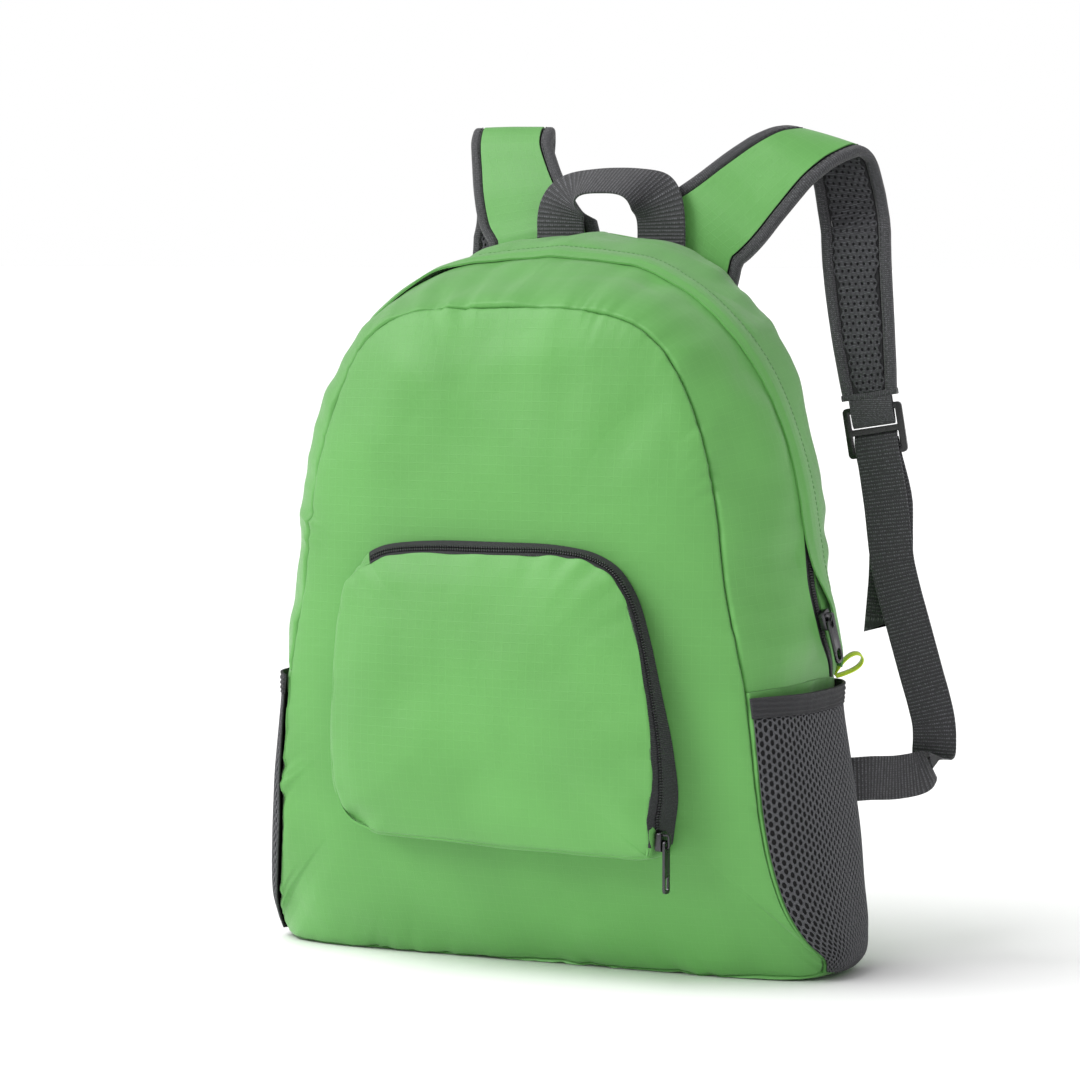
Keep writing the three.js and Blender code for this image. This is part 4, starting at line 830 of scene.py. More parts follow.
def signed_volume(mesh: bpy.types.Mesh) -> float:
    """The volume inside a closed mesh, negative where its faces point inwards."""
    mesh.calc_loop_triangles()
    corners = np.empty(len(mesh.loop_triangles) * 3, int)
    mesh.loop_triangles.foreach_get("vertices", corners)
    places = np.empty(len(mesh.vertices) * 3)
    mesh.vertices.foreach_get("co", places)
    a, b, c = places.reshape(-1, 3)[corners.reshape(-1, 3)].transpose(1, 0, 2)
    return float(np.sum(a * np.cross(b, c)))


def wall(
    name: str,
    outer: Array,
    inner: Array,
    uv: Array,
    finish: Finish,
    *,
    closed: bool = False,
    domed: bool = False,
) -> bpy.types.Object:
    """A sheet with a thickness, from matching grids of its two faces.

    Args:
        name: the piece's name.
        outer: rows and columns of points of one face.
        inner: the same of the other face.
        uv: places on the cloth, for each row and column.
        finish: what it is made of.
        closed: True where the last row joins the first.
        domed: True where the last column is a ring to be closed by a middle point.

    Returns:
        The object.
    """
    rows, columns = outer.shape[:2]
    ids = np.arange(rows * columns).reshape(rows, columns)
    if closed:
        ids = np.vstack([ids, ids[:1]])
    back = ids + rows * columns
    faces: list[list[int]] = []
    for face, flip in ((ids, False), (back, True)):
        quads = np.stack([face[:-1, :-1], face[1:, :-1], face[1:, 1:], face[:-1, 1:]], -1).reshape(-1, 4)
        faces += (quads[:, ::-1] if flip else quads).tolist()
    rims = [(ids[:, 0][::-1], back[:, 0][::-1])]
    if not domed:
        rims.append((ids[:, -1], back[:, -1]))
    if not closed:
        rims += [(ids[0], back[0]), (ids[-1][::-1], back[-1][::-1])]
    for edge, other in rims:
        faces += np.stack([edge[:-1], edge[1:], other[1:], other[:-1]], -1).tolist()
    points = [outer.reshape(-1, 3), inner.reshape(-1, 3)]
    places = [uv.reshape(-1, 2), uv.reshape(-1, 2)]
    if domed:
        middle = 2 * rows * columns
        points += [outer[:, -1].mean(0, keepdims=True), inner[:, -1].mean(0, keepdims=True)]
        places += [uv[:, -1].mean(0, keepdims=True)] * 2
        ring, ring_back = ids[:, -1], back[:, -1]
        faces += [[int(a), int(b), middle] for a, b in zip(ring[:-1], ring[1:])]
        faces += [[int(b), int(a), middle + 1] for a, b in zip(ring_back[:-1], ring_back[1:])]
    return mesh_object(name, np.concatenate(points), faces, np.concatenate(places), finish)


def sweep(name: str, rings: Array, uv: Array, finish: Finish) -> bpy.types.Object:
    """A solid through closed rings of points, with flat ends.

    Args:
        name: the piece's name.
        rings: for each step along it, the points round it.
        uv: a place on the cloth for each of them.
        finish: what it is made of.

    Returns:
        The object.
    """
    steps, sides = rings.shape[:2]
    ids = np.arange(steps * sides).reshape(steps, sides)
    turned = np.roll(ids, -1, axis=1)
    faces = np.stack([ids[:-1], turned[:-1], turned[1:], ids[1:]], -1).reshape(-1, 4).tolist()
    faces += [ids[0][::-1].tolist(), ids[-1].tolist()]
    return mesh_object(name, rings, faces, uv, finish)


def dress(piece: bpy.types.Object, finish: Finish, *nodes: str, body: str = "bag") -> bpy.types.Object:
    """Makes a finished piece ride on a body and stand for its nodes.

    Args:
        piece: the piece.
        finish: what it is made of; not used.
        nodes: the nodes that it stands for.
        body: what it rides on.

    Returns:
        The piece.
    """
    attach(piece, body)
    if nodes:
        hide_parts(*nodes)
    LOG.info("%s: %d faces", piece.name, len(piece.data.polygons))
    return piece


# ---- Geometry Nodes


class GeometryTree:
    """Short calls for building one geometry node tree."""

    def __init__(self, name: str, inputs: dict[str, str]) -> None:
        """Starts a tree with a Geometry input and output and some named inputs."""
        self.tree = bpy.data.node_groups.new(name, "GeometryNodeTree")
        face = self.tree.interface
        face.new_socket("Geometry", in_out="INPUT", socket_type="NodeSocketGeometry")
        for label, kind in inputs.items():
            face.new_socket(label, in_out="INPUT", socket_type=kind)
        face.new_socket("Geometry", in_out="OUTPUT", socket_type="NodeSocketGeometry")
        self.calls = Shader(self.tree)
        self.given = self.calls.add("NodeGroupInput")

    def end(self, geometry: bpy.types.NodeSocket) -> bpy.types.NodeTree:
        """Realizes the instances, sets the material and ends the tree."""
        real = self.calls.add("GeometryNodeRealizeInstances", {0: geometry})
        inputs = {"Geometry": real.outputs[0], "Material": self.given.outputs["Material"]}
        done = self.calls.add("GeometryNodeSetMaterial", inputs)
        self.calls.add("NodeGroupOutput", {0: done.outputs[0]})
        return self.tree


@lru_cache
def bead_tree() -> bpy.types.NodeTree:
    """The tree that lays small oval beads along paths, for stitches and zip teeth."""
    kinds = {
        "Pitch": "NodeSocketFloat",
        "Size": "NodeSocketVector",
        "Segments": "NodeSocketInt",
        "Material": "NodeSocketMaterial",
    }
    build = GeometryTree("beads_along_paths", kinds)
    calls, given = build.calls, build.given.outputs
    curve = calls.add("GeometryNodeMeshToCurve", {"Mesh": given["Geometry"]})
    points = calls.add(
        "GeometryNodeResampleCurve", {"Curve": curve.outputs[0], "Length": given["Pitch"]}, mode="LENGTH"
    )
    ball = calls.add("GeometryNodeMeshUVSphere", {"Segments": given["Segments"], "Rings": 4, "Radius": 0.5})
    bead = calls.add("GeometryNodeTransform", {"Geometry": ball.outputs[0], "Scale": given["Size"]})
    up = calls.add("GeometryNodeInputNamedAttribute", {"Name": "up"}, data_type="FLOAT_VECTOR")
    tangent = calls.add("GeometryNodeInputTangent")
    turn = calls.add(
        "FunctionNodeAxesToRotation",
        {0: up.outputs[0], 1: tangent.outputs[0]},
        primary_axis="Z",
        secondary_axis="X",
    )
    laid = calls.add(
        "GeometryNodeInstanceOnPoints",
        {"Points": points.outputs[0], "Instance": bead.outputs[0], "Rotation": turn.outputs[0]},
    )
    return build.end(laid.outputs[0])


@lru_cache
def net_tree() -> bpy.types.NodeTree:
    """The tree that turns a sheet of triangles into a net of six-sided holes."""
    build = GeometryTree("net_of_holes", {"Hole": "NodeSocketFloat", "Material": "NodeSocketMaterial"})
    calls, given = build.calls, build.given.outputs
    cells = calls.add("GeometryNodeDualMesh", {0: given["Geometry"]})
    flat = {"Mesh": cells.outputs[0], "Offset Scale": 0.0, "Individual": True}
    raised = calls.add("GeometryNodeExtrudeMesh", flat, mode="FACES")
    inner = {"Geometry": raised.outputs["Mesh"], "Selection": raised.outputs["Top"], "Scale": given["Hole"]}
    shrunk = calls.add("GeometryNodeScaleElements", inner, domain="FACE")
    holes = {"Geometry": shrunk.outputs[0], "Selection": raised.outputs["Top"]}
    open_net = calls.add("GeometryNodeDeleteGeometry", holes, domain="FACE")
    welded = calls.add("GeometryNodeMergeByDistance", {0: open_net.outputs[0], "Distance": 0.00001})
    rounded = calls.add("GeometryNodeSubdivisionSurface", {0: welded.outputs[0], "Level": 1})
    return build.end(rounded.outputs[0])


def apply_tree(
    source: bpy.types.Object, tree: bpy.types.NodeTree, values: dict[str, Any], thickness: float = 0.0
) -> bpy.types.Object:
    """Runs a tree on an object and keeps the result as a plain mesh.

    Args:
        source: the object, which the result replaces.
        tree: the tree.
        values: its named inputs.
        thickness: of a wall given to the result, in metres.

    Returns:
        The object, with no modifier left.
    """
    modifier = source.modifiers.new("nodes", "NODES")
    modifier.node_group = tree
    for item in tree.interface.items_tree:
        if item.item_type == "SOCKET" and item.in_out == "INPUT" and item.name in values:
            modifier[item.identifier] = values[item.name]
    if thickness:
        solid = source.modifiers.new("wall", "SOLIDIFY")
        solid.thickness, solid.offset = thickness, 0.0
    evaluated = source.evaluated_get(bpy.context.evaluated_depsgraph_get())
    mesh = bpy.data.meshes.new_from_object(evaluated)
    source.modifiers.clear()
    source.data = mesh
    mesh.name = source.name
    mesh.shade_smooth()
    return source


def beads(
    name: str,
    paths: Sequence[tuple[Array, Array]],
    pitch: float,
    size: tuple[float, float, float],
    finish: Finish,
    segments: int = 6,
) -> bpy.types.Object:
    """Small oval beads along paths.

    Args:
        name: the piece's name.
        paths: each path's points in millimetres, and the surface's normals there.
        pitch: from bead to bead, in millimetres.
        size: of a bead along the path, across it and off the surface, in millimetres.
        finish: what they are made of.
        segments: sides round a bead.

    Returns:
        The object.
    """
    points, ups, edges = [], [], []
    for path, up in paths:
        start = len(points)
        points += (path * MM).tolist()
        ups += np.broadcast_to(up, path.shape).tolist()
        edges += [(i, i + 1) for i in range(start, len(points) - 1)]
    mesh = bpy.data.meshes.new(name)
    mesh.from_pydata(points, edges, [])
    attribute = mesh.attributes.new("up", "FLOAT_VECTOR", "POINT")
    attribute.data.foreach_set("vector", np.array(ups, np.float32).ravel())
    piece = bpy.data.objects.new(name, mesh)
    bpy.context.scene.collection.objects.link(piece)
    values = {
        "Pitch": pitch * MM,
        "Size": tuple(v * MM for v in size),
        "Segments": segments,
        "Material": finish.material(),
    }
    return apply_tree(piece, bead_tree(), values)


def stitches(name: str, paths: Sequence[tuple[Array, Array]], finish: Finish) -> bpy.types.Object:
    """Rows of stitches along paths, sunk a little in the cloth."""
    return dress(beads(name, paths, 3.0, (2.3, 0.55, 0.5), finish), finish)


def net(
    name: str,
    surface: Callable[[Array, Array], Array],
    size: tuple[float, float],
    pitch: tuple[float, float],
    hole: float,
    thickness: float,
    finish: Finish,
    inside: Callable[[Array, Array], Array] | None = None,
) -> bpy.types.Object:
    """A net of oval holes laid on a surface.

    Args:
        name: the piece's name.
        surface: gives points in millimetres for two lengths along the sheet, in millimetres.
        size: of the sheet.
        pitch: of the holes along and across it.
        hole: the share of each cell that is open.
        thickness: of the net, in millimetres.
        finish: what it is made of.
        inside: says which of those lengths lie on the sheet, where it isn't a rectangle.

    Returns:
        The object.
    """
    columns, rows = int(size[0] / pitch[0]), int(size[1] / pitch[1])
    j, i = np.meshgrid(np.arange(rows + 1), np.arange(columns + 1), indexing="ij")
    u = (i + 0.5 * (j % 2)) * size[0] / (columns + 0.5)
    v = j * size[1] / rows
    points = surface(u, v)
    ids = np.arange(u.size).reshape(u.shape)
    kept = np.ones(u.size, bool) if inside is None else inside(u, v).ravel()
    faces: list[list[int]] = []
    for row in range(rows):
        a, b = ids[row], ids[row + 1]
        lower, upper = (a, b) if row % 2 == 0 else (b, a)
        pairs = [[lower[:-1], lower[1:], upper[:-1]], [lower[1:], upper[1:], upper[:-1]]]
        for triangle in pairs:
            stacked = np.stack(triangle, -1)
            stacked = stacked[kept[stacked].all(-1)]
            faces += (stacked if row % 2 == 0 else stacked[:, ::-1]).tolist()
    mesh = bpy.data.meshes.new(name)
    mesh.from_pydata((points.reshape(-1, 3) * MM).tolist(), [], faces)
    piece = bpy.data.objects.new(name, mesh)
    bpy.context.scene.collection.objects.link(piece)
    apply_tree(piece, net_tree(), {"Hole": hole, "Material": finish.material()}, thickness * MM)
    layer = piece.data.uv_layers.new(name="cloth")
    places = np.empty(len(piece.data.vertices) * 3)
    piece.data.vertices.foreach_get("co", places)
    loops = np.empty(len(piece.data.loops), int)
    piece.data.loops.foreach_get("vertex_index", loops)
    layer.data.foreach_set("uv", places.reshape(-1, 3)[loops][:, 1:].astype(np.float32).ravel())
    return piece


def bevelled_copy(
    node: str, width: float, finish: Finish, body: str, segments: int = 2, rim: Finish | None = None
) -> bpy.types.Object:
    """A node's own shape with its edges rounded, standing for the node.

    Args:
        node: the node.
        width: of the rounding, in millimetres.
        finish: what it is made of.
        body: what it rides on.
        segments: of the rounding.
        rim: what the rounded edges are made of, where it differs.

    Returns:
        The object.
    """
    mesh = bpy.data.objects[node].data.copy()
    piece = bpy.data.objects.new(f"{node}_dressed", mesh)
    bpy.context.scene.collection.objects.link(piece)
    weld = piece.modifiers.new("weld", "WELD")
    weld.merge_threshold = 0.00002
    flat = piece.modifiers.new("flat", "DECIMATE")
    flat.decimate_type, flat.angle_limit = "DISSOLVE", math.radians(2)
    bevel = piece.modifiers.new("bevel", "BEVEL")
    bevel.width, bevel.segments, bevel.limit_method = width * MM, segments, "ANGLE"
    bevel.angle_limit = math.radians(35)
    mesh.materials.clear()
    for made_of in [finish] + ([rim] if rim else []):
        mesh.materials.append(made_of.material())
    bevel.material = 1 if rim else -1
    evaluated = piece.evaluated_get(bpy.context.evaluated_depsgraph_get())
    piece.data = bpy.data.meshes.new_from_object(evaluated)
    piece.modifiers.clear()
    piece.data.name = piece.name
    piece.data.shade_smooth()
    piece.data.set_sharp_from_angle(angle=math.radians(40))
    return dress(piece, finish, node, body=body)


# ---- Sub-assemblies


def on_floor(points: Array) -> Array:
    """The same points, none of them under the floor."""
    return vec(points[..., 0], points[..., 1], np.maximum(points[..., 2], 0.0))


@dataclass(frozen=True)
class Shell:
    """The sewn shell: front, back and base panels, the gussets and the cloth behind the side pockets."""

    cloth: float = 1.6
    seam_gap: float = 0.3
    groove: float = 2.2
    groove_width: float = 0.9
    pucker: float = 1.7
    pucker_reach: float = 8.5
    pucker_pitch: float = 9.0
    slot: float = 13.0
    panel_steps: int = 640
    edge_steps: tuple[float, ...] = (0.15, 0.6, 1.1, 1.7, 2.5, 3.6, 5.0, 6.8, 9.0)

    def seam_relief(self, arc: Array, distance: Array, seed: int) -> Array:
        """The groove along a seam and the short puckers that run out of it."""
        groove = -self.groove * np.exp(-((distance / self.groove_width) ** 2))
        groove -= 0.6 * np.exp(-((distance / 5) ** 2))
        place = vec(arc / self.pucker_pitch, distance / 45, seed)
        strength = 0.15 + 1.5 * np.clip(lumps(vec(arc / 40, 0 * arc, seed), 1.0, seed + 1), 0, 1)
        ridged = 0.8 - 2 * np.abs(lumps(place, 1.0, seed))
        puckers = 0.8 * ridged + 0.6 * lumps(place * [1.5, 1.0, 1.0], 1.0, seed + 2)
        return groove + self.pucker * strength * np.exp(-distance / self.pucker_reach) * puckers

    def panel_piece(self, seam: Seam, node: str) -> bpy.types.Object:
        """The front or back panel, its outer face laid on the solid's and creased."""
        s = np.linspace(0, LOOP, self.panel_steps + 1)[:-1]
        near_seam = 1 - np.array(self.edge_steps) / SHAPE.half
        r = np.concatenate([near_seam, np.linspace(near_seam[-1] - 0.014, 0.03, 58)])
        grid_s, grid_r = np.meshgrid(s, r, indexing="ij")
        points = SHAPE.panel(seam, grid_s, grid_r)
        front = seam is Seam.FRONT
        out = vec(0.0, -1.0 if front else 1.0, 0.0)
        looped = np.concatenate([points[-1:], points, points[:1]])
        normal = grid_normals(looped, out)[1:-1]
        edge = SHAPE.seam(seam, grid_s)
        distance = np.hypot(points[..., 0] - edge[..., 0], points[..., 2] - edge[..., 2])
        calm = SHAPE.clear_of_pocket(points[..., 0], points[..., 2]) if front else 1.0
        relief = calm * (
            1.9 * lumps(points * [1.0, 1.0, 0.6], 58, 3 if front else 5)
            + 0.45 * lumps(points * [1.3, 1.0, 0.7], 27, 7)
            - 0.3 * creases(points * [1.0, 1.0, 0.55], 60, 11, 5.0)
        )
        relief += self.seam_relief(SHAPE.arc(grid_s), distance, 2 if front else 4)
        corner = unit(out + SHAPE.outward(grid_s))
        near = np.exp(-distance / 3.5)[..., None]
        direction = unit(normal * (1 - near) + corner * near)
        outer = on_floor(points + direction * relief[..., None])
        inner = outer - direction * self.cloth
        uv = np.stack([points[..., 0], points[..., 2]], -1) * MM
        name = "front_panel_cloth" if front else "back_panel_cloth"
        return dress(wall(name, outer, inner, uv, CLOTH, closed=True, domed=True), CLOTH, node)

    def band_piece(
        self,
        name: str,
        node: str,
        span: tuple[float, float],
        shares: Callable[[Array], tuple[Array, Array]],
        steps: tuple[int, int],
        seed: int,
    ) -> bpy.types.Object:
        """A piece of the band between the seams.

        Args:
            name: the piece's name.
            node: the node it stands for.
            span: its first and last station.
            shares: its front and back edge at each station, as shares of the band.
            steps: how finely it is divided along and across.
            seed: of its creases.

        Returns:
            The object.
        """
        s = np.linspace(span[0] + 0.004, span[1] - 0.004, steps[0] + 1)
        low, high = shares(s)
        t = self.graded(steps[1])
        g = low[:, None] * (1 - t) + high[:, None] * t
        grid_s = np.broadcast_to(s[:, None], g.shape)
        points = SHAPE.band(grid_s, g)
        normal = SHAPE.band_normal(grid_s, g)
        arc = SHAPE.arc(grid_s)
        reach = g * SHAPE.band_reach
        back_reach = (1 - g) * SHAPE.band_reach
        edge_low, edge_high = (g - low[:, None]) * SHAPE.band_reach, (high[:, None] - g) * SHAPE.band_reach
        place = vec(arc * 0.6, reach, seed * 40.0)
        rise = smoothstep(0.05, 0.4, self_height(points))
        relief = rise * (1.7 * lumps(place, 36, seed) - 0.4 * creases(place, 48, seed + 1, 5.0))
        relief += 0.45 * rise * lumps(place * [1.8, 0.6, 1.0], 17, seed + 2)
        relief += 1.1 * rise * lumps(vec(arc / 16, reach / 60, 0 * arc), 1.0, seed + 3)
        direction = normal
        for distance, seam in ((reach, Seam.FRONT), (back_reach, Seam.BACK)):
            relief = relief + self.seam_relief(arc, distance, 2 if seam is Seam.FRONT else 4)
            out = vec(0.0, -1.0 if seam is Seam.FRONT else 1.0, 0.0)
            near = np.exp(-distance / 3.5)[..., None]
            direction = unit(direction * (1 - near) + unit(out + SHAPE.outward(grid_s)) * near)
        far = 99.0
        from_low = np.where(edge_low < reach - 1, edge_low, far)
        from_zip = np.minimum(from_low, np.where(edge_high < back_reach - 1, edge_high, far))
        relief = relief * smoothstep(0, 9, from_zip) + 0.5 * np.exp(-((from_zip / 1.6) ** 2))
        outer = on_floor(points + direction * relief[..., None])
        uv = np.stack([arc, reach], -1) * MM
        return dress(wall(name, outer, outer - direction * self.cloth, uv, CLOTH), CLOTH, node)

    def graded(self, steps: int) -> Array:
        """Shares across a piece, closer together at both edges."""
        t = np.linspace(-1, 1, steps + 1)
        return (t * (1 + 0.42 * (1 - t * t)) + 1) / 2

    def build(self) -> None:
        """Makes the shell's seven pieces."""
        edge = self.seam_gap / 2 / SHAPE.depth
        half = self.slot / 2 / SHAPE.band_reach

        def before_zip(s: Array) -> tuple[Array, Array]:
            """From the front seam to the zip."""
            return edge + 0 * s, SHAPE.column("zip", s) - half

        def behind_zip(s: Array) -> tuple[Array, Array]:
            """From the zip to the back seam."""
            return SHAPE.column("zip", s) + half, 1 - edge + 0 * s

        def whole(s: Array) -> tuple[Array, Array]:
            """From seam to seam."""
            return edge + 0 * s, 1 - edge + 0 * s

        self.panel_piece(Seam.FRONT, "front_panel")
        self.panel_piece(Seam.BACK, "back_panel")
        loop = (ZIP_END, LOOP - ZIP_END)
        self.band_piece("front_gusset_cloth", "front_gusset", loop, before_zip, (520, 34), 21)
        self.band_piece("back_gusset_cloth", "back_gusset", loop, behind_zip, (520, 34), 31)
        self.band_piece("bottom_cloth", "bottom_panel", (-CORNER, CORNER), whole, (200, 60), 41)
        for side in Side:
            span = (CORNER, ZIP_END) if side is Side.RIGHT else (LOOP - ZIP_END, LOOP - CORNER)
            name = f"{side.word}_side_base"
            self.band_piece(f"{name}_cloth", name, span, whole, (150, 70), 51)


def self_height(points: Array) -> Array:
    """How high points lie, as a share of the bag's height."""
    return points[..., 2] / SHAPE.height


@dataclass(frozen=True)
class MainZip:
    """The main zip: its tape, coil and slider, the flap over it and its puller."""

    slot: float = 13.0
    gap: float = 0.3
    sunk: float = 0.4
    tape: float = 1.0
    coil_rise: float = 0.5
    flap_width: float = 17.0
    open_rows: tuple[float, float] = (12.4, 13.9)
    gape: float = 21.7
    flap_wall: float = 1.1
    cover: float = 8.6

    def build(self) -> None:
        """Makes the tape, the coil, the flap and its stitching, and dresses the slider and puller."""
        s = np.linspace(ZIP_END + 0.004, LOOP - ZIP_END - 0.004, 521)
        half = (self.slot / 2 - self.gap) / SHAPE.band_reach
        t = np.linspace(-1, 1, 9)
        g = SHAPE.column("zip", s)[:, None] + half * t
        grid_s = np.broadcast_to(s[:, None], g.shape)
        normal = SHAPE.band_normal(grid_s, g)
        outer = SHAPE.band(grid_s, g) - normal * self.sunk
        arc = SHAPE.arc(grid_s)
        uv = np.stack([arc, g * SHAPE.band_reach], -1) * MM
        dress(wall("main_zip_tape_cloth", outer, outer - normal * self.tape, uv, TAPE), TAPE, "main_zip_tape")
        self.coil(s)
        self.flap()
        bevelled_copy("main_slider", 0.35, METAL, "bag")
        bevelled_copy("main_puller", 0.45, METAL, "main_puller", rim=RIM)

    def coil(self, s: Array) -> None:
        """Lays the coil's turns in two rows along the zip."""
        paths = []
        for shift in (-1.15, 1.15):
            g = SHAPE.column("zip", s) + shift / SHAPE.band_reach
            normal = SHAPE.band_normal(s, g)
            paths.append((SHAPE.band(s, g) + normal * self.coil_rise, normal))
        dress(beads("main_zip_coil", paths, 1.5, (1.1, 2.6, 1.5), COIL, 5), COIL)

    def openness(self, s: Array) -> Array:
        """How far the flap stands open: at both ends of the zip and in one place at the upper left."""
        row = SHAPE.row_and_side(s)[0]
        gape = 0.6 * np.exp(-(((s - self.gape) / 0.65) ** 2))
        return np.maximum(1 - smoothstep(*self.open_rows, row), gape)

    def flap(self) -> None:
        """Makes the flap: sewn down along its back edge, closed over the coil but for its open places."""
        s = np.linspace(ZIP_END + 0.2, LOOP - ZIP_END - 0.2, 561)
        t = np.linspace(0, 1, 19)
        arc, opened = SHAPE.arc(s), self.openness(s)
        wave = 0.9 * lumps(vec(arc, 0.0, 3.0), 26, 61) + 0.4 * lumps(vec(arc, 0.0, 5.0), 9, 64)
        ahead = (SHAPE.column("zip", s) - SHAPE.column("flap", s)) * SHAPE.band_reach
        front = -np.maximum(0, self.cover - ahead) * (1 - opened) + wave
        width = front[:, None] * (1 - t) + self.flap_width * t
        g = SHAPE.column("flap", s)[:, None] + width / SHAPE.band_reach
        grid_s = np.broadcast_to(s[:, None], g.shape)
        arc, opened = SHAPE.arc(grid_s), opened[:, None]
        closed_lift = np.interp(t, (0, 0.14, 0.28, 0.5, 0.75, 0.9, 1), (0.5, 1.0, 2.1, 2.2, 1.6, 0.9, 0.5))
        open_lift = np.interp(t, [0, 0.33, 0.67, 0.88, 1], [3.7, 3.4, 2.4, 1.0, 0.6])
        lift = closed_lift * (1 - opened) + open_lift * opened + self.flap_wall
        ripple = 0.7 * lumps(vec(arc, t * 10 + 0 * arc, 9.0), 17, 62) * (1 - t) * (0.4 + 0.6 * opened)
        at_seam = np.exp(-(((1 - t) * self.flap_width) / 5) ** 2)
        ripple = ripple + 0.3 * np.abs(lumps(vec(arc, 0 * arc, 4.0), 6, 63)) * at_seam
        normal = SHAPE.band_normal(grid_s, g)
        outer = SHAPE.band(grid_s, g) + normal * (lift + ripple)[..., None]
        uv = np.stack([arc, g * SHAPE.band_reach], -1) * MM
        dress(wall("zip_flap_cloth", outer, outer - normal * self.flap_wall, uv, CLOTH), CLOTH, "zip_flap")
        stitches("zip_flap_stitches", [(outer[:, 16] + normal[:, 16] * 0.1, normal[:, 16])], THREAD)


@dataclass(frozen=True)
class SidePocket:
    """An open side pocket: a net with a near-black sheet under it as painted shade inside the pocket, and
    ribbed elastic along its top.
    """

    side: Side
    stand: float = 8.0
    left_share: float = 0.86
    wall: float = 1.2
    elastic_wall: float = 2.0
    elastic_width: float = 11.0
    net_width: float = 128.0
    hole_pitch: tuple[float, float] = (4.9, 2.95)

    def lift(self, s: Array, g: Array) -> Array:
        """How far the pocket's inner face stands off the shell."""
        row = SHAPE.row_and_side(s)[0]
        up = np.clip((row - CORNER) / 3, 0, 1)
        across = 1 - np.abs(2 * g - 1) ** 4
        share = (row - CORNER) / (POCKET_TOP - CORNER)
        slack = 0.72 + 0.28 * np.sin(np.pi * share)
        stand = self.stand if self.side is Side.RIGHT else self.stand * self.left_share
        return 0.6 + stand * across * np.sin(up * np.pi / 2) * slack

    def station(self, row: Array) -> Array:
        """The loop station of a row on this side."""
        return row if self.side is Side.RIGHT else LOOP - row

    def mesh_top(self) -> float:
        """The row where the net ends and the elastic begins."""
        rows = np.linspace(CORNER, TOP, 4000)
        heights = SHAPE.seams().at("fz", rows) * SHAPE.height
        top = float(SHAPE.seams().at("fz", POCKET_TOP)) * SHAPE.height
        return float(np.interp(top - self.elastic_width, heights, rows))

    def surface(self, row: Array, g: Array, height: float) -> Array:
        """Points of the pocket's wall, a height above its inner face."""
        s = self.station(row)
        return SHAPE.band(s, g) + SHAPE.band_normal(s, g) * (self.lift(s, g) + height)[..., None]

    def build(self) -> None:
        """Makes the net, the near-black sheet of painted shade under it, and the elastic."""
        name = f"{self.side.word}_side_mesh"
        top = self.mesh_top()
        up_rows, across_shares = np.linspace(CORNER + 0.35, top, 91), np.linspace(0.012, 0.988, 61)
        row, g = np.meshgrid(up_rows, across_shares, indexing="ij")
        outer, inner = self.surface(row, g, 0.75), self.surface(row, g, 0.0)
        uv = np.stack([row * 20, g * 120], -1) * MM
        # The near-black sheet under the net is painted shade inside the pocket, which darkens the holes.
        dress(wall(f"{name}_ground", outer, inner, uv, NET_PAINTED_SHADE), NET_PAINTED_SHADE, name)
        rows = np.linspace(CORNER + 0.35, top, 400)
        middle = self.surface(rows, np.full_like(rows, 0.5), 0.9)
        heights = np.concatenate([[0], np.cumsum(np.linalg.norm(np.diff(middle, axis=0), axis=-1))])
        up, across = self.hole_pitch

        def sheet(u: Array, v: Array) -> Array:
            """A point of the net from its lengths up and across the pocket, held at the pocket's edges."""
            share = np.clip((v - across) / self.net_width, 0, 1)
            return self.surface(np.interp(u - up, heights, rows), 0.006 + 0.988 * share, 1.1)

        size = (float(heights[-1]) + 2 * up, self.net_width + 2 * across)
        dress(net(f"{name}_net", sheet, size, self.hole_pitch, 0.74, 0.7, NET), NET)
        self.elastic(top)

    def elastic(self, top: float) -> None:
        """Makes the elastic, with four ribs along it."""
        name = f"{self.side.word}_pocket_elastic"
        row, g = np.meshgrid(np.linspace(top, POCKET_TOP, 33), np.linspace(0.002, 0.998, 121), indexing="ij")
        t = (row - top) / (POCKET_TOP - top)
        ribs = 0.35 * np.cos(2 * np.pi * 4 * t) * smoothstep(0, 0.1, t) * smoothstep(0, 0.1, 1 - t)
        s = self.station(row)
        normal = SHAPE.band_normal(s, g)
        ruck = 0.25 * lumps(vec(g * 120, 0 * g, 2.0), 3.2, 71)
        outer = self.surface(row, g, self.elastic_wall) + normal * (ribs + ruck)[..., None]
        inner = self.surface(row, g, 0.4)
        uv = np.stack([g * 125, t * self.elastic_width], -1) * MM
        dress(wall(f"{name}_band", outer, inner, uv, ELASTIC), ELASTIC, name)


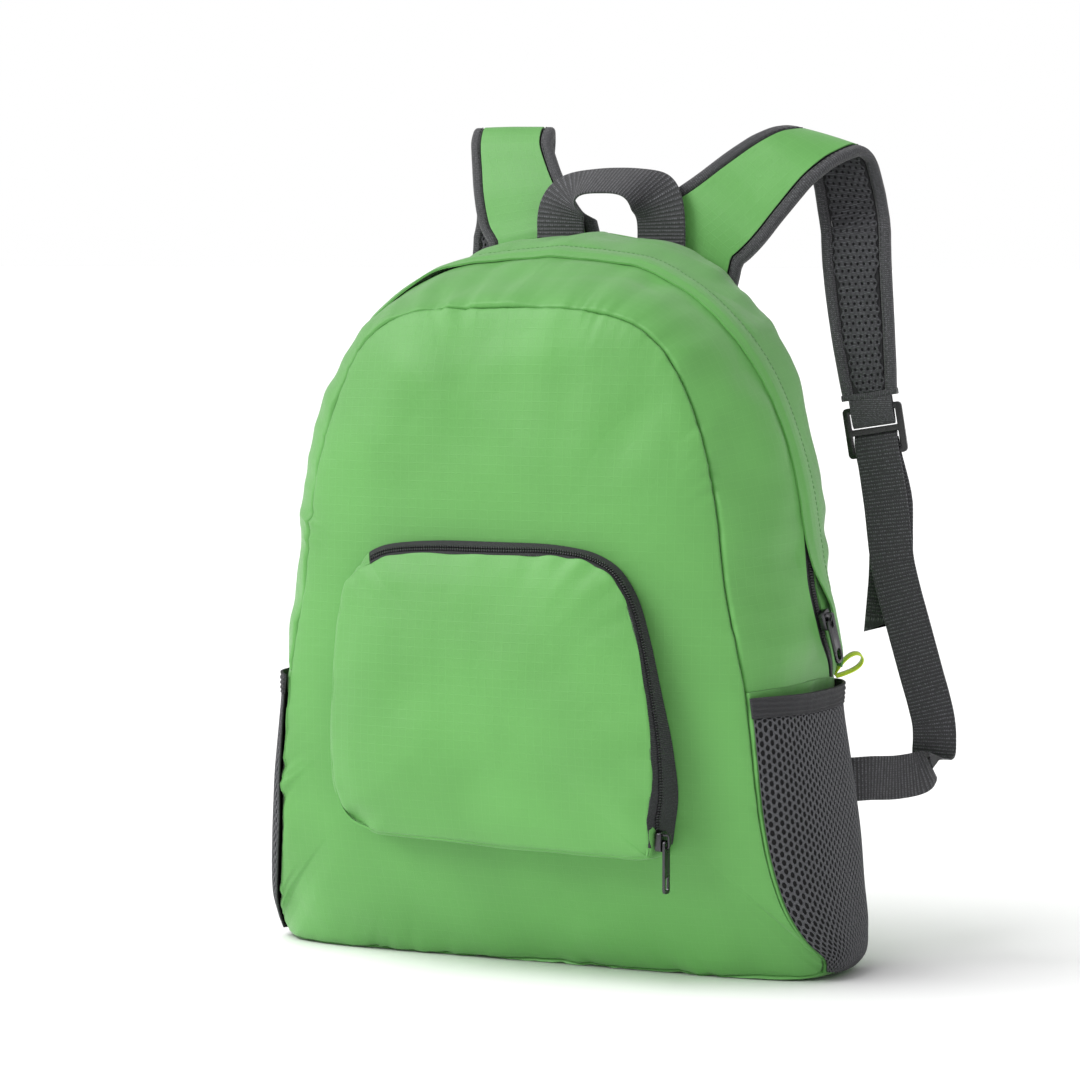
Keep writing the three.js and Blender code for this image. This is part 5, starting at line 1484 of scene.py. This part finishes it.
@dataclass(frozen=True)
class FrontPocket:
    """The zipped front pocket: its face, its sewn wall and its slanting zip wall."""

    width: float = 212
    height: float = 168
    base: float = 70
    stand: float = 27
    crown: float = 4
    cloth: float = 1.4
    inset: float = 9
    zip_from: float = 0.4
    zip_to: float = 12.0
    gap: float = 0.6
    slant_gap: float = 0.8
    roll: tuple[float, ...] = (1.0, 0.86, 0.72, 0.58, 0.46, 0.35, 0.25, 0.17, 0.1, 0.045)
    seam_rows: tuple[float, ...] = (0, 0.6, 15.6, 16.6, 17.3, 17.9, 18.6, 19.4, 23)
    seam_depths: tuple[float, ...] = (1, 0.3, 0.05, 0.9, 1.2, 0.3, 0.9, 1, 1)
    dimple: tuple[float, float] = (-90, 80)
    dimple_depth: float = 3.0

    @property
    def middle(self) -> float:
        """The height of the face's middle."""
        return self.base + 0.48 * self.height

    @staticmethod
    @lru_cache
    def curves() -> RowCurves:
        """The outline's curves, with rows repeated at both ends so that they close."""
        return RowCurves(POCKET_COLUMNS, POCKET_ROWS[-2:] + POCKET_ROWS + POCKET_ROWS[:3])

    def zipped(self, s: Array) -> Array:
        """1 along the zip and 0 along the sewn edges."""
        row = np.mod(s, len(POCKET_ROWS))
        return np.minimum(np.clip(row / 1.2, 0, 1), np.clip((self.zip_to + 1.2 - row) / 1.2, 0, 1))

    def wall_point(self, s: Array, h: Array) -> Array:
        """Points of the side wall: h runs from 0 on the bag to 1 at the edge of the face."""
        row = 2 + np.mod(s, len(POCKET_ROWS))
        x = self.curves().at("x", row) * self.width / 2
        z = self.base + self.curves().at("z", row) * self.height
        reach = np.hypot(-x, self.middle - z)
        inset = self.inset * self.curves().at("inset", row) * self.zipped(s) * h
        depth = SHAPE.panel_depth(Seam.FRONT, x, z) - self.gap - self.slant_gap * self.zipped(s)
        return vec(
            x - x / reach * inset,
            depth - self.curves().at("stand", row) * self.stand * h,
            z + (self.middle - z) / reach * inset,
        )

    def build(self) -> None:
        """Makes the face, the walls and the coil, and dresses the slider and puller."""
        self.face()
        self.side_wall("pocket_gusset", CLOTH, (self.zip_to, len(POCKET_ROWS) + self.zip_from), 160, 1.1)
        self.side_wall("pocket_zip_tape", TAPE, (self.zip_from, self.zip_to), 260, 0.9)
        self.coil()
        bevelled_copy("pocket_slider", 0.35, METAL, "bag")
        bevelled_copy("pocket_puller", 0.4, METAL, "pocket_puller", rim=RIM)

    def face(self) -> None:
        """Makes the pocket's face: it rolls over the sewn edges down to the bag and ends firm at the zip."""
        s = np.linspace(0, len(POCKET_ROWS), 461)[:-1]
        sewn = (1 - self.zipped(s))[:, None]
        down = np.array(self.roll)
        r = np.concatenate([[1.0], np.linspace(0.985, 0.03, 60)])
        edge_point = self.wall_point(s, np.ones_like(s))[:, None, :]
        rolled = self.wall_point(s[:, None], 1 - (0.02 + 0.98 * sewn) * down)
        middle_y = FRONT_FOOT * SHAPE.depth - SHAPE.front_crown - self.stand * 0.72
        y = middle_y + (edge_point[..., 1] - middle_y) * r**2 - self.crown * (1 - r**4)
        flat = vec(edge_point[..., 0] * r, y, self.middle + (edge_point[..., 2] - self.middle) * r)
        sharp = np.concatenate([rolled, flat], axis=1)
        points = sharp.copy()
        for _ in range(9):
            points[:, 1:-1] = (points[:, :-2] + 2 * points[:, 1:-1] + points[:, 2:]) / 4
        edge = len(down)
        near_edge = np.clip(1 - np.abs(np.arange(sharp.shape[1]) - edge) / 12, 0, 1)
        share = (sewn * np.minimum(1, 2 * near_edge))[..., None]
        points = sharp * (1 - share) + points * share
        out = vec(0.0, -1.0, 0.0)
        normal = grid_normals(np.concatenate([points[-1:], points, points[:1]]), out)[1:-1]
        distance = np.linalg.norm(sharp - edge_point, axis=-1)
        grid_s = np.broadcast_to(s[:, None], distance.shape)
        relief = 1.5 * lumps(points * [0.8, 1.0, 1.3], 52, 81) + 0.35 * lumps(points, 24, 82)
        relief = relief * smoothstep(0, 22, distance)
        pucker = lumps(vec(grid_s * 1.9, distance / 34, 1.0), 1.0, 84)
        relief += np.exp(-distance / 13) * pucker * (1.0 - 0.3 * sewn)
        seam = np.interp(s, self.seam_rows, self.seam_depths)
        inside = np.where(np.arange(sharp.shape[1]) >= edge, 1.0, 2.0)
        relief -= seam[:, None] * sewn * np.exp(-((distance * inside / 1.5) ** 2))
        dip = ((points[..., 0] - self.dimple[0]) / 9) ** 2 + ((points[..., 2] - self.dimple[1]) / 7) ** 2
        relief -= self.dimple_depth * np.exp(-dip)
        outer = points + normal * relief[..., None]
        away = unit(vec(edge_point[..., 0], 0.0, edge_point[..., 2] - self.middle))
        spread = points + away * np.where(np.arange(sharp.shape[1]) < edge, distance, 0.0)[..., None]
        uv = np.stack([spread[..., 0], spread[..., 2]], -1) * MM
        inner = outer - normal * self.cloth
        piece = wall("pocket_face_cloth", outer, inner, uv, CLOTH, closed=True, domed=True)
        dress(piece, CLOTH, "pocket_panel")

    def side_wall(
        self, node: str, finish: Finish, span: tuple[float, float], steps: int, thick: float
    ) -> None:
        """Makes a stretch of the pocket's side wall.

        Args:
            node: the node it stands for.
            finish: what it is made of.
            span: its first and last row of the outline.
            steps: how finely it is divided.
            thick: its thickness.
        """
        s = np.linspace(span[0] + 0.012, span[1] - 0.012, steps + 1)
        h = np.linspace(0, 0.99, 13)
        grid_s, grid_h = np.meshgrid(s, h, indexing="ij")
        points = self.wall_point(grid_s, grid_h)
        away = vec(points[..., 0], 0.0, points[..., 2] - self.middle)
        normal = grid_normals(points, away)
        if finish is CLOTH:
            under = 1.6 * (1 - self.zipped(grid_s))
            height = 0.5 * lumps(points, 12, 91) * np.sin(np.pi * grid_h) - under
            points = points + normal * height[..., None]
        uv = np.stack([grid_s * 30, grid_h * 20], -1) * MM
        dress(wall(f"{node}_cloth", points, points - normal * thick, uv, finish), finish, node)

    def coil(self) -> None:
        """Lays the coil's turns in two rows along the zip wall."""
        s = np.linspace(self.zip_from + 0.1, self.zip_to - 0.1, 400)
        paths = []
        for shift in (-1.15, 1.15):
            h = 0.66 + shift / (self.curves().at("stand", 2 + s) * self.stand)
            grid = np.stack([self.wall_point(s, h - 0.04), self.wall_point(s, h + 0.04)], 1)
            point = self.wall_point(s, h)
            normal = grid_normals(grid, vec(point[..., 0], 0.0, point[..., 2] - self.middle)[:, None])[:, 0]
            paths.append((point + normal * 0.7, normal))
        dress(beads("pocket_zip_coil", paths, 1.5, (1.1, 2.0, 1.8), COIL, 6), COIL)


@dataclass(frozen=True)
class RibbonFrames:
    """Centres, widths' directions and facings along a ribbon."""

    centre: Array
    across: Array
    facing: Array
    width: Array

    @staticmethod
    def from_table(columns: str, rows: Sequence[Sequence[float]], count: int, lift: float) -> "RibbonFrames":
        """The frames along a table's rows.

        Args:
            columns: the table's columns.
            rows: the table.
            count: how many steps.
            lift: the centre line's height off the back panel where it lies on it.

        Returns:
            The frames.
        """
        curves = RowCurves(columns, rows)
        at = np.linspace(0, len(rows) - 1, count + 1)

        def centre(where: Array) -> Array:
            """The centre line."""
            x = curves.at("x", where) * SHAPE.half
            share = curves.at("z", where)
            z = np.where(share <= 1, share * SHAPE.height, SHAPE.height + (share - 1) * STRAP_RISE)
            y = SHAPE.panel_depth(Seam.BACK, x, np.minimum(z, SHAPE.height * 0.94)) + lift
            return vec(x, y + curves.at("back", where) * STRAP_SETBACK, z)

        run = unit(centre(np.minimum(at + 0.2, len(rows) - 1)) - centre(np.maximum(at - 0.2, 0)))
        yaw, roll = np.radians(curves.at("yaw", at)), np.radians(curves.at("roll", at))
        across = vec(np.cos(yaw) * np.cos(roll), np.sin(yaw) * np.cos(roll), np.sin(roll))
        wide = "width" in curves.columns
        width = curves.at("width", at) * STRAP_WIDTH if wide else np.zeros_like(at)
        return RibbonFrames(centre(at), across, unit(np.cross(across, run)), width)

    def squared(self) -> "RibbonFrames":
        """The same frames with each width square to the run."""
        run = unit(np.gradient(self.centre, axis=0))
        across = unit(self.across - run * np.sum(self.across * run, -1, keepdims=True))
        return RibbonFrames(self.centre, across, unit(np.cross(across, run)), self.width)

    def length(self) -> Array:
        """The length along the centre line, in millimetres."""
        steps = np.linalg.norm(np.diff(self.centre, axis=0), axis=-1)
        return np.concatenate([[0], np.cumsum(steps)])

    def place(self, a: Array, b: Array) -> Array:
        """Points at lengths across and along the facing, for each frame and each point of an outline."""
        return (
            self.centre[:, None]
            + self.across[:, None] * np.asarray(a, float)[..., None]
            + self.facing[:, None] * np.asarray(b, float)[..., None]
        )


def rounded_outline(
    half_width: Array | float, half_wall: float, corner: float, steps: int = 4
) -> tuple[Array, Array]:
    """A flat rounded outline, for each of some half widths.

    Args:
        half_width: half its width, one or many.
        half_wall: half its thickness.
        corner: the radius of its corners.
        steps: sides in each corner.

    Returns:
        The places across and along the facing, with one row for each half width.
    """
    half_width = np.atleast_1d(np.asarray(half_width, float))[:, None]
    across, facing = [], []
    for i, (sx, sy) in enumerate(((1, 1), (-1, 1), (-1, -1), (1, -1))):
        turn = np.radians(90 * i) + np.linspace(0, np.pi / 2, steps + 1)
        across.append(sx * (half_width - corner) + corner * np.cos(turn))
        facing.append(sy * (half_wall - corner) + corner * np.sin(turn) + 0 * half_width)
    return np.concatenate(across, 1), np.concatenate(facing, 1)


@dataclass(frozen=True)
class ShoulderStrap:
    """A padded strap: padding under a net, green cloth outside, bound edges, end tab, lock and webbing."""

    side: Side
    pad: float = 4.4
    skin: float = 0.8
    binding: float = STRAP_WALL
    binding_width: float = 7.0
    steps: int = 170

    def build(self) -> None:
        """Makes the strap's pieces."""
        rows = RIGHT_STRAP if self.side is Side.RIGHT else LEFT_STRAP
        frames = RibbonFrames.from_table(RIBBON_COLUMNS, rows, self.steps, STRAP_LIFT)
        word = self.side.word
        run = frames.length()
        edge = frames.width / 2 - self.binding_width
        self.padding(frames, edge, run, word)
        for end, sign in (("left", -1), ("right", 1)):
            self.bound_edge(frames, sign, run, f"{word}_strap_binding_{end}")
        self.hardware(word)

    def padding(self, frames: RibbonFrames, edge: Array, run: Array, word: str) -> None:
        """Makes the padding, the cloth over it and the net under it."""
        t = np.linspace(-1, 1, 17)
        a = (edge - 0.4)[:, None] * t
        crown = 0.5 * (1 - t**2)
        ripple = 0.35 * lumps(vec(run[:, None], a, 3.0), 14, 101)
        uv = np.stack(np.broadcast_arrays(run[:, None], a), -1) * MM
        top = self.pad / 2 + crown * 0.6 + ripple * 0.3
        bottom = -self.pad / 2 - crown * 0.3
        pad = wall(f"{word}_strap_padding", frames.place(a, top), frames.place(a, bottom + 0 * a), uv, PAD)
        dress(pad, PAD, f"{word}_strap_pad")
        low = top + 0.25
        skin = wall(f"{word}_strap_cloth", frames.place(a, low + self.skin), frames.place(a, low), uv, CLOTH)
        dress(skin, CLOTH, f"{word}_strap_outer")
        widest = float(edge.max()) + 3

        def sheet(u: Array, v: Array) -> Array:
            """A point of the net from its lengths across and along the strap."""
            centre, across, facing = (
                np.stack([np.interp(v, run, values[:, k]) for k in range(3)], -1)
                for values in (frames.centre, frames.across, frames.facing)
            )
            share = np.clip((u - widest) / np.interp(v, run, edge), -1, 1)
            drop = self.pad / 2 + 0.35 + 0.35 * (1 - share**2)
            return centre + across * (u - widest)[..., None] - facing * drop[..., None]

        def inside(u: Array, v: Array) -> Array:
            """Whether such a place is on the padding or just under its bindings."""
            return np.abs(u - widest) < np.interp(v, run, edge) + 2.5

        size = (2 * widest, float(run[-1]) - 0.5)
        dress(net(f"{word}_strap_net", sheet, size, (3.6, 3.7), 0.45, 0.5, STRAP_NET, inside), STRAP_NET)

    def bound_edge(self, frames: RibbonFrames, sign: int, run: Array, node: str) -> None:
        """Makes the binding folded over one edge, and its stitches."""
        middle = sign * (frames.width / 2 - self.binding_width / 2)
        a, b = rounded_outline(self.binding_width / 2, self.binding / 2, 2.6, 4)
        wave = 0.25 * lumps(vec(run, 0.0 * run, sign + 5.0), 9, 102)
        rings = frames.place(middle[:, None] + a, b + wave[:, None])
        girth = np.linspace(0, 22, a.shape[1])
        uv = np.stack(np.broadcast_arrays(run[:, None], girth[None]), -1) * MM
        dress(sweep(f"{node}_cloth", rings, uv, BINDING), BINDING, node)
        inner = middle - sign * (self.binding_width / 2 - 1.6)
        paths = []
        for face in (1, -1):
            line = frames.place(inner[:, None], np.full((len(run), 1), face * (self.binding / 2 - 0.1)))[:, 0]
            paths.append((line, frames.facing * face))
        stitches(f"{node}_stitches", paths, DARK_THREAD)

    def hardware(self, word: str) -> None:
        """Dresses the lock and the end tab, and makes the webbing and its tail."""
        bevelled_copy(f"{word}_ladder_lock", 0.9, PLASTIC, "bag", 3)
        lock = LockPlace.of(self.side)
        self.tab(lock, word)
        share = 1.0 if self.side is Side.RIGHT else -0.92
        tail_share = 1.0 if self.side is Side.RIGHT else -0.91
        starts = ((-2.3, -0.8), (-4.6, 1.7), (-10.2, 3.6), (-15.0, 3.5), (-20.0, 2.2))
        self.strip(f"{word}_webbing", lock, starts, WEBBING_ROWS, share, 150, False)
        starts = ((-5.6, -1.7), (-10.3, -3.9), (-15.5, -4.2))
        self.strip(f"{word}_webbing_tail", lock, starts, TAIL_ROWS, tail_share, 40, True)

    def tab(self, lock: "LockPlace", word: str) -> None:
        """Makes the end tab, folded round the lock's top bar, and the bound end of the strap above it."""
        front = ((20.6, 1.2), (17, 2.7), (11.5, 3.0), (7, 2.5), (3.8, 1.6))
        places = (*front, (2.9, 0.0), *((y, -z) for y, z in reversed(front)))
        rough = np.array([lock.centre + lock.up * y + lock.out * z for y, z in places])
        centre = smooth_path(rough, 60)
        across = np.broadcast_to(lock.across, centre.shape)
        frames = RibbonFrames(centre, across, across, np.zeros(len(centre))).squared()
        a, b = rounded_outline(12.2, 0.55, 0.5, 3)
        run = frames.length()
        crease = 0.7 * np.exp(-(((a + 1.5) / 1.6) ** 2)) * smoothstep(0, 12, run)[:, None]
        rings = frames.place(np.repeat(a, len(run), 0), b - crease)
        uv = np.stack(np.broadcast_arrays(run[:, None], a), -1) * MM
        dress(sweep(f"{word}_strap_tab_cloth", rings, uv, BINDING), BINDING, f"{word}_strap_tab")
        half = STRAP_WIDTH * (RIGHT_STRAP if self.side is Side.RIGHT else LEFT_STRAP)[-1][3] / 2 + 0.4
        along = np.linspace(-half, half, 30)
        centre = lock.centre + lock.up * 20.4 + along[:, None] * lock.across
        across = np.broadcast_to(lock.up, centre.shape)
        frames = RibbonFrames(centre, across, across, np.zeros(len(centre))).squared()
        a, b = rounded_outline(1.7, self.binding / 2 + 0.2, 1.2, 3)
        rings = frames.place(np.repeat(a, 30, 0), np.repeat(b, 30, 0))
        uv = np.stack(np.broadcast_arrays(along[:, None], a + b), -1) * MM
        dress(sweep(f"{word}_strap_end_binding", rings, uv, BINDING), BINDING)

    def strip(
        self,
        node: str,
        lock: "LockPlace",
        starts: Sequence[tuple[float, float]],
        rows: Sequence[Sequence[float]],
        share: float,
        count: int,
        cut: bool,
    ) -> None:
        """Makes a strip of webbing from the lock along a table's rows.

        Args:
            node: the node it stands for.
            lock: where the lock is.
            starts: its first places in the lock's own plane, up and out.
            rows: the table of the rest.
            share: what its places across are multiplied by, negative on the left.
            count: how many steps.
            cut: True where its end is cut on the slant.
        """
        side = np.sign(share)
        turned = [(x * share, b, z, yaw * side, roll * side) for x, b, z, yaw, roll in rows]
        rest = RibbonFrames.from_table(WEBBING_COLUMNS, turned, 22 if not cut else 5, 1.4)
        first = np.array([lock.centre + lock.up * y + lock.out * z for y, z in starts])
        centre = np.concatenate([first, rest.centre])
        across = np.concatenate([np.repeat(lock.across[None], len(first), 0), rest.across])
        centre, across = smooth_path(centre, count), smooth_path(across, count)
        frames = RibbonFrames(centre, unit(across), unit(across), np.zeros(len(centre))).squared()
        run = frames.length()
        a, b = rounded_outline(12.5, 0.8, 0.7, 3)
        rings = frames.place(np.repeat(a, len(run), 0), np.repeat(b, len(run), 0))
        if cut:
            direction = unit(np.gradient(frames.centre, axis=0))[-1]
            rings[-1] -= direction * (a[0] * side * 0.5)[:, None]
        uv = np.stack(np.broadcast_arrays(run[:, None], a), -1) * MM
        dress(sweep(f"{node}_strip", rings, uv, WEBBING), WEBBING, node)


def smooth_path(values: Array, count: int) -> Array:
    """Values spread evenly along a path, on a smooth curve through the given ones."""
    at = np.linspace(0, len(values) - 1, count + 1)
    curves = RowCurves("x y z", values)
    return vec(*(curves.at(name, at) for name in "xyz"))


@dataclass(frozen=True)
class LockPlace:
    """Where a ladder lock is: its centre and its three directions."""

    centre: Array
    across: Array
    up: Array
    out: Array

    @staticmethod
    def of(side: Side) -> "LockPlace":
        """The place of one side's lock, from the end of its strap."""
        rows = RIGHT_STRAP if side is Side.RIGHT else LEFT_STRAP
        frames = RibbonFrames.from_table(RIBBON_COLUMNS, rows, 25, STRAP_LIFT)
        across, facing = frames.across[-1], frames.facing[-1]
        run = unit(np.cross(facing, across))
        centre = frames.centre[-1] + run * (LOCK_LENGTH / 2 + LOCK_GAP)
        return LockPlace(centre, across, -run, unit(np.cross(across, -run)))


@dataclass(frozen=True)
class HaulHandle:
    """The haul handle: a strip whose legs lie on the back panel and whose arch tips forwards."""

    width: float = 30
    wall: float = 1.7
    span: float = 64
    rise: float = 29
    tilt: float = 28
    leg: float = 14

    def build(self) -> None:
        """Makes the handle."""
        leg_z = SHAPE.height - self.leg
        lift = self.wall / 2 + 0.45
        tilt = math.radians(self.tilt)

        def leg_y(z: Array) -> Array:
            """The depth of the legs' centre line."""
            below = np.minimum(z, SHAPE.height * 0.97)
            return SHAPE.panel_depth(Seam.BACK, np.full_like(z, self.span / 2), below) + lift

        arch_y = float(np.max(leg_y(np.linspace(leg_z, SHAPE.height, 5))))
        z = np.linspace(leg_z, SHAPE.height, 12)[:-1]
        y = np.where(z > leg_z + 1, np.maximum(leg_y(z), arch_y), leg_y(z))
        left = vec(-self.span / 2, y, z)
        turn = np.linspace(0, np.pi, 90)
        c, s = np.cos(turn), np.sin(turn)
        x, up = -np.sign(c) * np.abs(c) ** 0.7, np.abs(s) ** 0.7
        arch = vec(self.span / 2 * x, arch_y - 2 * up, SHAPE.height + self.rise * up)
        facing = np.pi / 2 - np.pi / 2 * np.sign(c) * np.abs(c) ** 1.6
        across = vec(np.cos(facing), -np.sin(facing) * math.cos(tilt), -np.sin(facing) * math.sin(tilt))
        centre = np.concatenate([left, arch, (left * [-1, 1, 1])[::-1]])
        ends = np.broadcast_to([1.0, 0, 0], left.shape)
        across = np.concatenate([ends, across, -ends])
        frames = RibbonFrames(centre, across, across, np.zeros(len(centre))).squared()
        a, b = rounded_outline(self.width / 2, self.wall / 2, 0.75, 3)
        run = frames.length()
        rings = frames.place(np.repeat(a, len(run), 0), np.repeat(b, len(run), 0))
        uv = np.stack(np.broadcast_arrays(run[:, None], a), -1) * MM
        dress(sweep("haul_handle_strip", rings, uv, WEBBING), WEBBING, "haul_handle")


@dataclass(frozen=True)
class EndLoop:
    """The small loop of ribbon at the zip's lower end on the right."""

    width: float = 5
    length: float = 19
    wall: float = 0.9
    lift: float = 0.8
    opening: float = 0.2

    def build(self) -> None:
        """Makes the loop."""
        s, g = np.array(ZIP_END - 0.05), np.array(0.92)
        root = SHAPE.band(s, g) + SHAPE.band_normal(s, g) * self.lift
        out = unit(np.array([0.74, 0.3, 0.6]))
        wide = np.array([-0.4, 0.8, 0.4])
        wide = unit(wide - out * np.dot(wide, out))
        side = unit(np.cross(out, wide))
        turn = np.linspace(0.01, 0.99, 61) * 2 * np.pi
        along = self.length * np.sin(turn / 2)
        aside = -self.length * self.opening * np.sin(turn) - (self.wall / 2 + 0.25) * np.cos(turn / 2)
        centre = root + along[:, None] * out + aside[:, None] * side
        widths = np.broadcast_to(wide, centre.shape)
        frames = RibbonFrames(centre, widths, widths, np.zeros(len(centre))).squared()
        a, b = rounded_outline(self.width / 2, self.wall / 2, 0.35, 2)
        run = frames.length()
        rings = frames.place(np.repeat(a, len(run), 0), np.repeat(b, len(run), 0))
        uv = np.stack(np.broadcast_arrays(run[:, None], a), -1) * MM
        dress(sweep("end_loop_ribbon", rings, uv, LOOP_RIBBON), LOOP_RIBBON, "end_loop")


@dataclass(frozen=True)
class Studio:
    """The plain floor, the soft light and the camera at the photograph's angle."""

    azimuth: float = 26.5
    elevation: float = 4.0
    distance: float = 2.4
    focal_pixels: float = 4230.0
    frame_pixels: float = 1080.0
    base_pixel: tuple[float, float] = (565.0, 952.0)
    surround: float = 0.52
    key: float = 2.25
    floor_light: float = 2.7
    floor_bounce: float = 0.92

    def build(self) -> None:
        """Makes the floor, the lights, the surround and the camera."""
        bpy.context.scene.view_settings.view_transform = "Standard"
        world = bpy.data.worlds.new("surround")
        bpy.context.scene.world = world
        world.use_nodes = True
        shader = Shader(world.node_tree)
        seen = shader.add("ShaderNodeLightPath").outputs["Is Camera Ray"]
        background = world.node_tree.nodes["Background"]
        background.inputs["Color"].default_value = (1.0, 1.0, 1.0, 1)
        around = shader.add("ShaderNodeTexCoord").outputs["Generated"]
        slope = {0: around, 1: (0.9, 0.4, 0.0)}
        rightwards = shader.add("ShaderNodeVectorMath", slope, operation="DOT_PRODUCT")
        range_round = (self.surround * 1.3, self.surround * 0.7)
        soft = shader.ramp(rightwards.outputs["Value"], -1.0, 1.0, range_round)
        rest = shader.maths("MULTIPLY", soft, shader.maths("SUBTRACT", 1.0, seen))
        world.node_tree.links.new(shader.maths("ADD", seen, rest), background.inputs["Strength"])
        bpy.ops.mesh.primitive_plane_add(size=120, location=(0, 0, 0))
        floor = bpy.context.object
        floor.name = "floor"
        material = Finish("pale_floor", "cloth", (0.98, 0.98, 0.98), roughness=0.9).material()
        shader = Shader(material.node_tree)
        seen = shader.add("ShaderNodeLightPath").outputs["Is Camera Ray"]
        bounced = (self.floor_bounce, self.floor_bounce, self.floor_bounce, 1)
        pale = shader.mix(seen, bounced, (0.98, 0.98, 0.98, 1))
        shader.tree.links.new(pale, material.node_tree.nodes["Principled BSDF"].inputs["Base Color"])
        floor.data.materials.append(material)
        self.sun("key", (-1.9, -1.7, 2.0), 34, self.key, spared=floor)
        self.sun("fill", (1.5, -1.0, 0.6), 60, self.key * 0.2, spared=floor)
        self.sun("back", (0.8, 1.5, 1.2), 60, self.key * 0.2, spared=floor)
        self.sun("floor_light", (-0.45, -0.3, 1.0), 50, self.floor_light, only=floor)
        self.camera()

    @staticmethod
    def sun(
        name: str,
        place: tuple[float, float, float],
        angle: float,
        strength: float,
        spared: bpy.types.Object | None = None,
        only: bpy.types.Object | None = None,
    ) -> None:
        """Adds a wide soft light that comes from a direction.

        Args:
            name: the light's name.
            place: where it comes from.
            angle: how wide it looks, in degrees.
            strength: of the light.
            spared: an object that it doesn't light.
            only: the one object that it lights.
        """
        data = bpy.data.lights.new(name, "SUN")
        data.angle, data.energy = math.radians(angle), strength
        lamp = bpy.data.objects.new(name, data)
        lamp.rotation_euler = Vector(place).to_track_quat("Z", "Y").to_euler()
        bpy.context.scene.collection.objects.link(lamp)
        if spared or only:
            lit = bpy.data.collections.new(f"lit_by_{name}")
            lit.objects.link(spared or only)
            if spared:
                lit.collection_objects[0].light_linking.link_state = "EXCLUDE"
            lamp.light_linking.receiver_collection = lit

    def camera(self) -> None:
        """Adds the camera, placed so that the base's centre falls on its pixel."""
        a, e = math.radians(self.azimuth), math.radians(self.elevation)
        right = Vector((math.cos(a), math.sin(a), 0))
        back = Vector((math.sin(a) * math.cos(e), -math.cos(a) * math.cos(e), math.sin(e)))
        up = back.cross(right)
        half = self.frame_pixels / 2
        shift = right * ((self.base_pixel[0] - half) / self.focal_pixels)
        shift -= up * ((self.base_pixel[1] - half) / self.focal_pixels)
        data = bpy.data.cameras.new("view")
        data.lens = self.focal_pixels / self.frame_pixels * data.sensor_width
        data.dof.use_dof = False
        camera = bpy.data.objects.new("view", data)
        camera.location = (back - shift) * self.distance
        camera.rotation_euler = (-back).to_track_quat("-Z", "Y").to_euler()
        bpy.context.scene.collection.objects.link(camera)
        bpy.context.scene.camera = camera


def main() -> None:
    """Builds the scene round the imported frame."""
    logging.basicConfig(level=logging.INFO, format="%(name)s: %(message)s")
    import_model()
    Studio().build()
    Shell().build()
    MainZip().build()
    FrontPocket().build()
    for side in Side:
        SidePocket(side).build()
        ShoulderStrap(side).build()
    HaulHandle().build()
    EndLoop().build()


if __name__ == "__main__":
    main()
